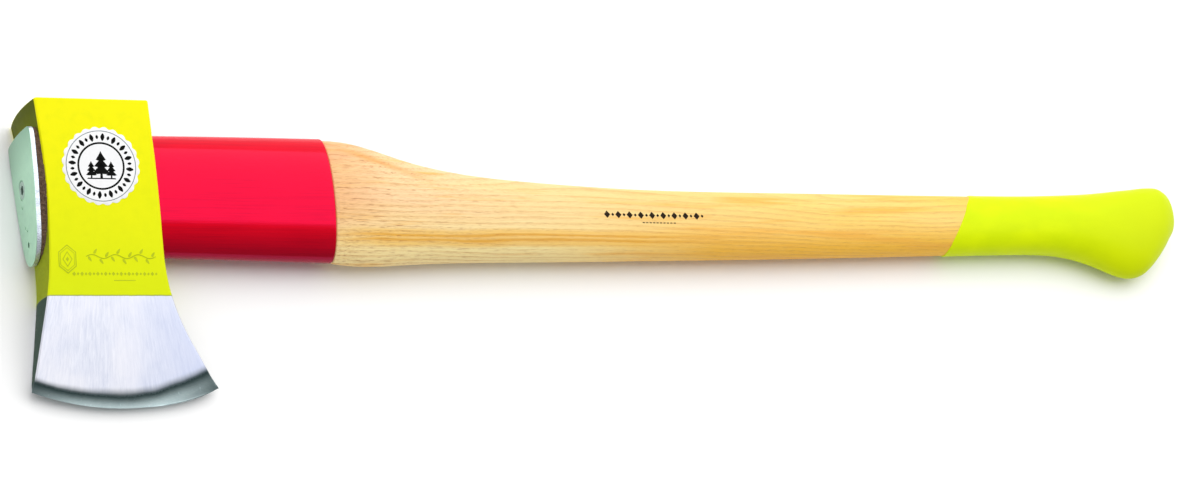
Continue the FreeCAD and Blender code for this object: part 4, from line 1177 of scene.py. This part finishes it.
# ------------------------------------------------------------------ handle print: plain ornament
def on_handle(x, t_mm, h=0.0):
    """Point on the near side of the handle at x, t_mm along Y from the centre line."""
    cy, a, b = fW[0](x), fW[1](x), fW[2](x)
    p = 2.0 + 0.22 * smooth((x - 230) / 120) * (1 - smooth((x - 690) / 60))
    s = max(-1, min(1, t_mm / a))
    z = b * (1 - abs(s) ** p) ** (1 / p)
    # outward slope
    nz, ny = 1.0, 0.0
    e = 0.05
    z2 = b * (1 - abs(max(-1, min(1, (t_mm + e) / a))) ** p) ** (1 / p)
    ny = -(z2 - z) / e
    L = math.hypot(1, ny)
    return (x, cy + t_mm + h * ny / L, z + h / L)


def build_print():
    V = []; F = []
    def patch(loop):
        o = len(V); n = len(loop)
        for h in (0.004, 0.05):
            for (x, y) in loop:
                V.append(on_handle(x, y, h))
        for i in range(n):
            j = (i + 1) % n
            F.append((o + i, o + j, o + n + j, o + n + i))
        F.append(tuple(o + n + i for i in range(n))); F.append(tuple(o + i for i in reversed(range(n))))
    x0, y0 = 366.0, 2.2
    k = 0
    x = x0
    while x < 436.0:
        w, h = (2.1, 2.4) if k % 2 == 0 else (1.0, 1.1)
        patch([(x - w, y0), (x, y0 - h), (x + w, y0), (x, y0 + h)])
        if k % 2 == 0:
            pass
        x += 3.9; k += 1
    x = 390.0
    while x < 412.0:
        patch([(x, y0 - 5.1), (x + 1.5, y0 - 5.1), (x + 1.5, y0 - 4.5), (x, y0 - 4.5)])
        x += 2.4
    return mesh_piece("handle_print", V, F, [M_BURN], None, smooth_shade=False)


finish_piece(build_print(), None)


# ------------------------------------------------------------------ floor, light, camera
def build_floor():
    t = NT("floor_pale")
    tc = t.n("ShaderNodeTexCoord"); nz = t.n("ShaderNodeTexNoise"); nz.inputs["Scale"].default_value = 1.5
    t.l(tc.outputs["Object"], nz.inputs["Vector"])
    t.set(color=t.mix(nz.outputs["Fac"], (0.955, 0.955, 0.955), (0.97, 0.97, 0.97)), rough=0.9, spec=0.1)
    me = bpy.data.meshes.new("floor"); s = 8.0
    me.from_pydata([(-s, -s, 0), (s, -s, 0), (s, s, 0), (-s, s, 0)], [], [(0, 1, 2, 3)])
    me.materials.append(t.m)
    ob = bpy.data.objects.new("floor", me); bpy.context.scene.collection.objects.link(ob)


build_floor()

world = bpy.data.worlds.new("studio"); bpy.context.scene.world = world
world.use_nodes = True
wn = world.node_tree; bg = wn.nodes["Background"]
bg.inputs[0].default_value = (1.0, 1.0, 1.0, 1)
# a bright tent on the poll side and overhead, dark cloth on the bit side
wt = wn.nodes.new("ShaderNodeTexCoord"); wsep = wn.nodes.new("ShaderNodeSeparateXYZ")
wn.links.new(wt.outputs["Generated"], wsep.inputs[0])
wr = wn.nodes.new("ShaderNodeMapRange"); wr.interpolation_type = 'SMOOTHSTEP'
for k, x in enumerate((-0.31, -0.25, 0.38, 0.94)):
    wr.inputs[k + 1].default_value = x
wn.links.new(wsep.outputs[1], wr.inputs[0])
wn.links.new(wr.outputs[0], bg.inputs[1])


def area(name, loc, target, size, radiance, color=(1, 1, 1), sy=None):
    sy = sy or size
    L = bpy.data.lights.new(name, 'AREA'); L.shape = 'RECTANGLE'
    L.size = size; L.size_y = sy; L.energy = radiance * math.pi * size * sy; L.color = color
    ob = bpy.data.objects.new(name, L); bpy.context.scene.collection.objects.link(ob)
    ob.location = loc
    d = Vector(target) - Vector(loc)
    ob.rotation_euler = d.to_track_quat('-Z', 'Y').to_euler()
    return ob


# softbox flat overhead: its near edge gives the tone change along the sleeve
area("softbox", (0.85, 0.96, 1.5), (0.85, 0.96, 0.0), 3.5, 1.14, sy=2.68)

# camera from the fitted view: centre, axes and focal length in the design frame
yaw, pitch, roll, D = 0.47197616, 0.27955959, -0.13256256, 2000.0
FX, TX, TY, YC = 3210.43236, 34.41234865, 22.13798685, 6.45135659
c = Vector((-math.sin(yaw) * math.cos(pitch), -math.sin(pitch), math.cos(yaw) * math.cos(pitch)))
r = Vector((0, 1, 0)).cross(c).normalized(); u = c.cross(r)
right = r * math.cos(roll) + u * math.sin(roll)
up = -r * math.sin(roll) + u * math.cos(roll)
pos = Vector((400, -YC, 0)) - right * TX - up * TY + c * D
Rm = Matrix((right, up, c)).transposed().to_4x4()
cam_d = bpy.data.cameras.new("camera"); cam = bpy.data.objects.new("camera", cam_d)
bpy.context.scene.collection.objects.link(cam)
world_m = PLACE @ Matrix.Translation(pos) @ Rm
q = world_m.to_quaternion()
cam.matrix_world = Matrix.Translation(world_m.to_translation()) @ q.to_matrix().to_4x4()
cam_d.sensor_width = 36.0
cam_d.lens = FX / 1181.0 * 36.0
cam_d.clip_end = 60
bpy.context.scene.camera = cam

vs_ = bpy.context.scene.view_settings
vs_.view_transform = 'Standard'

bpy.context.view_layer.update()
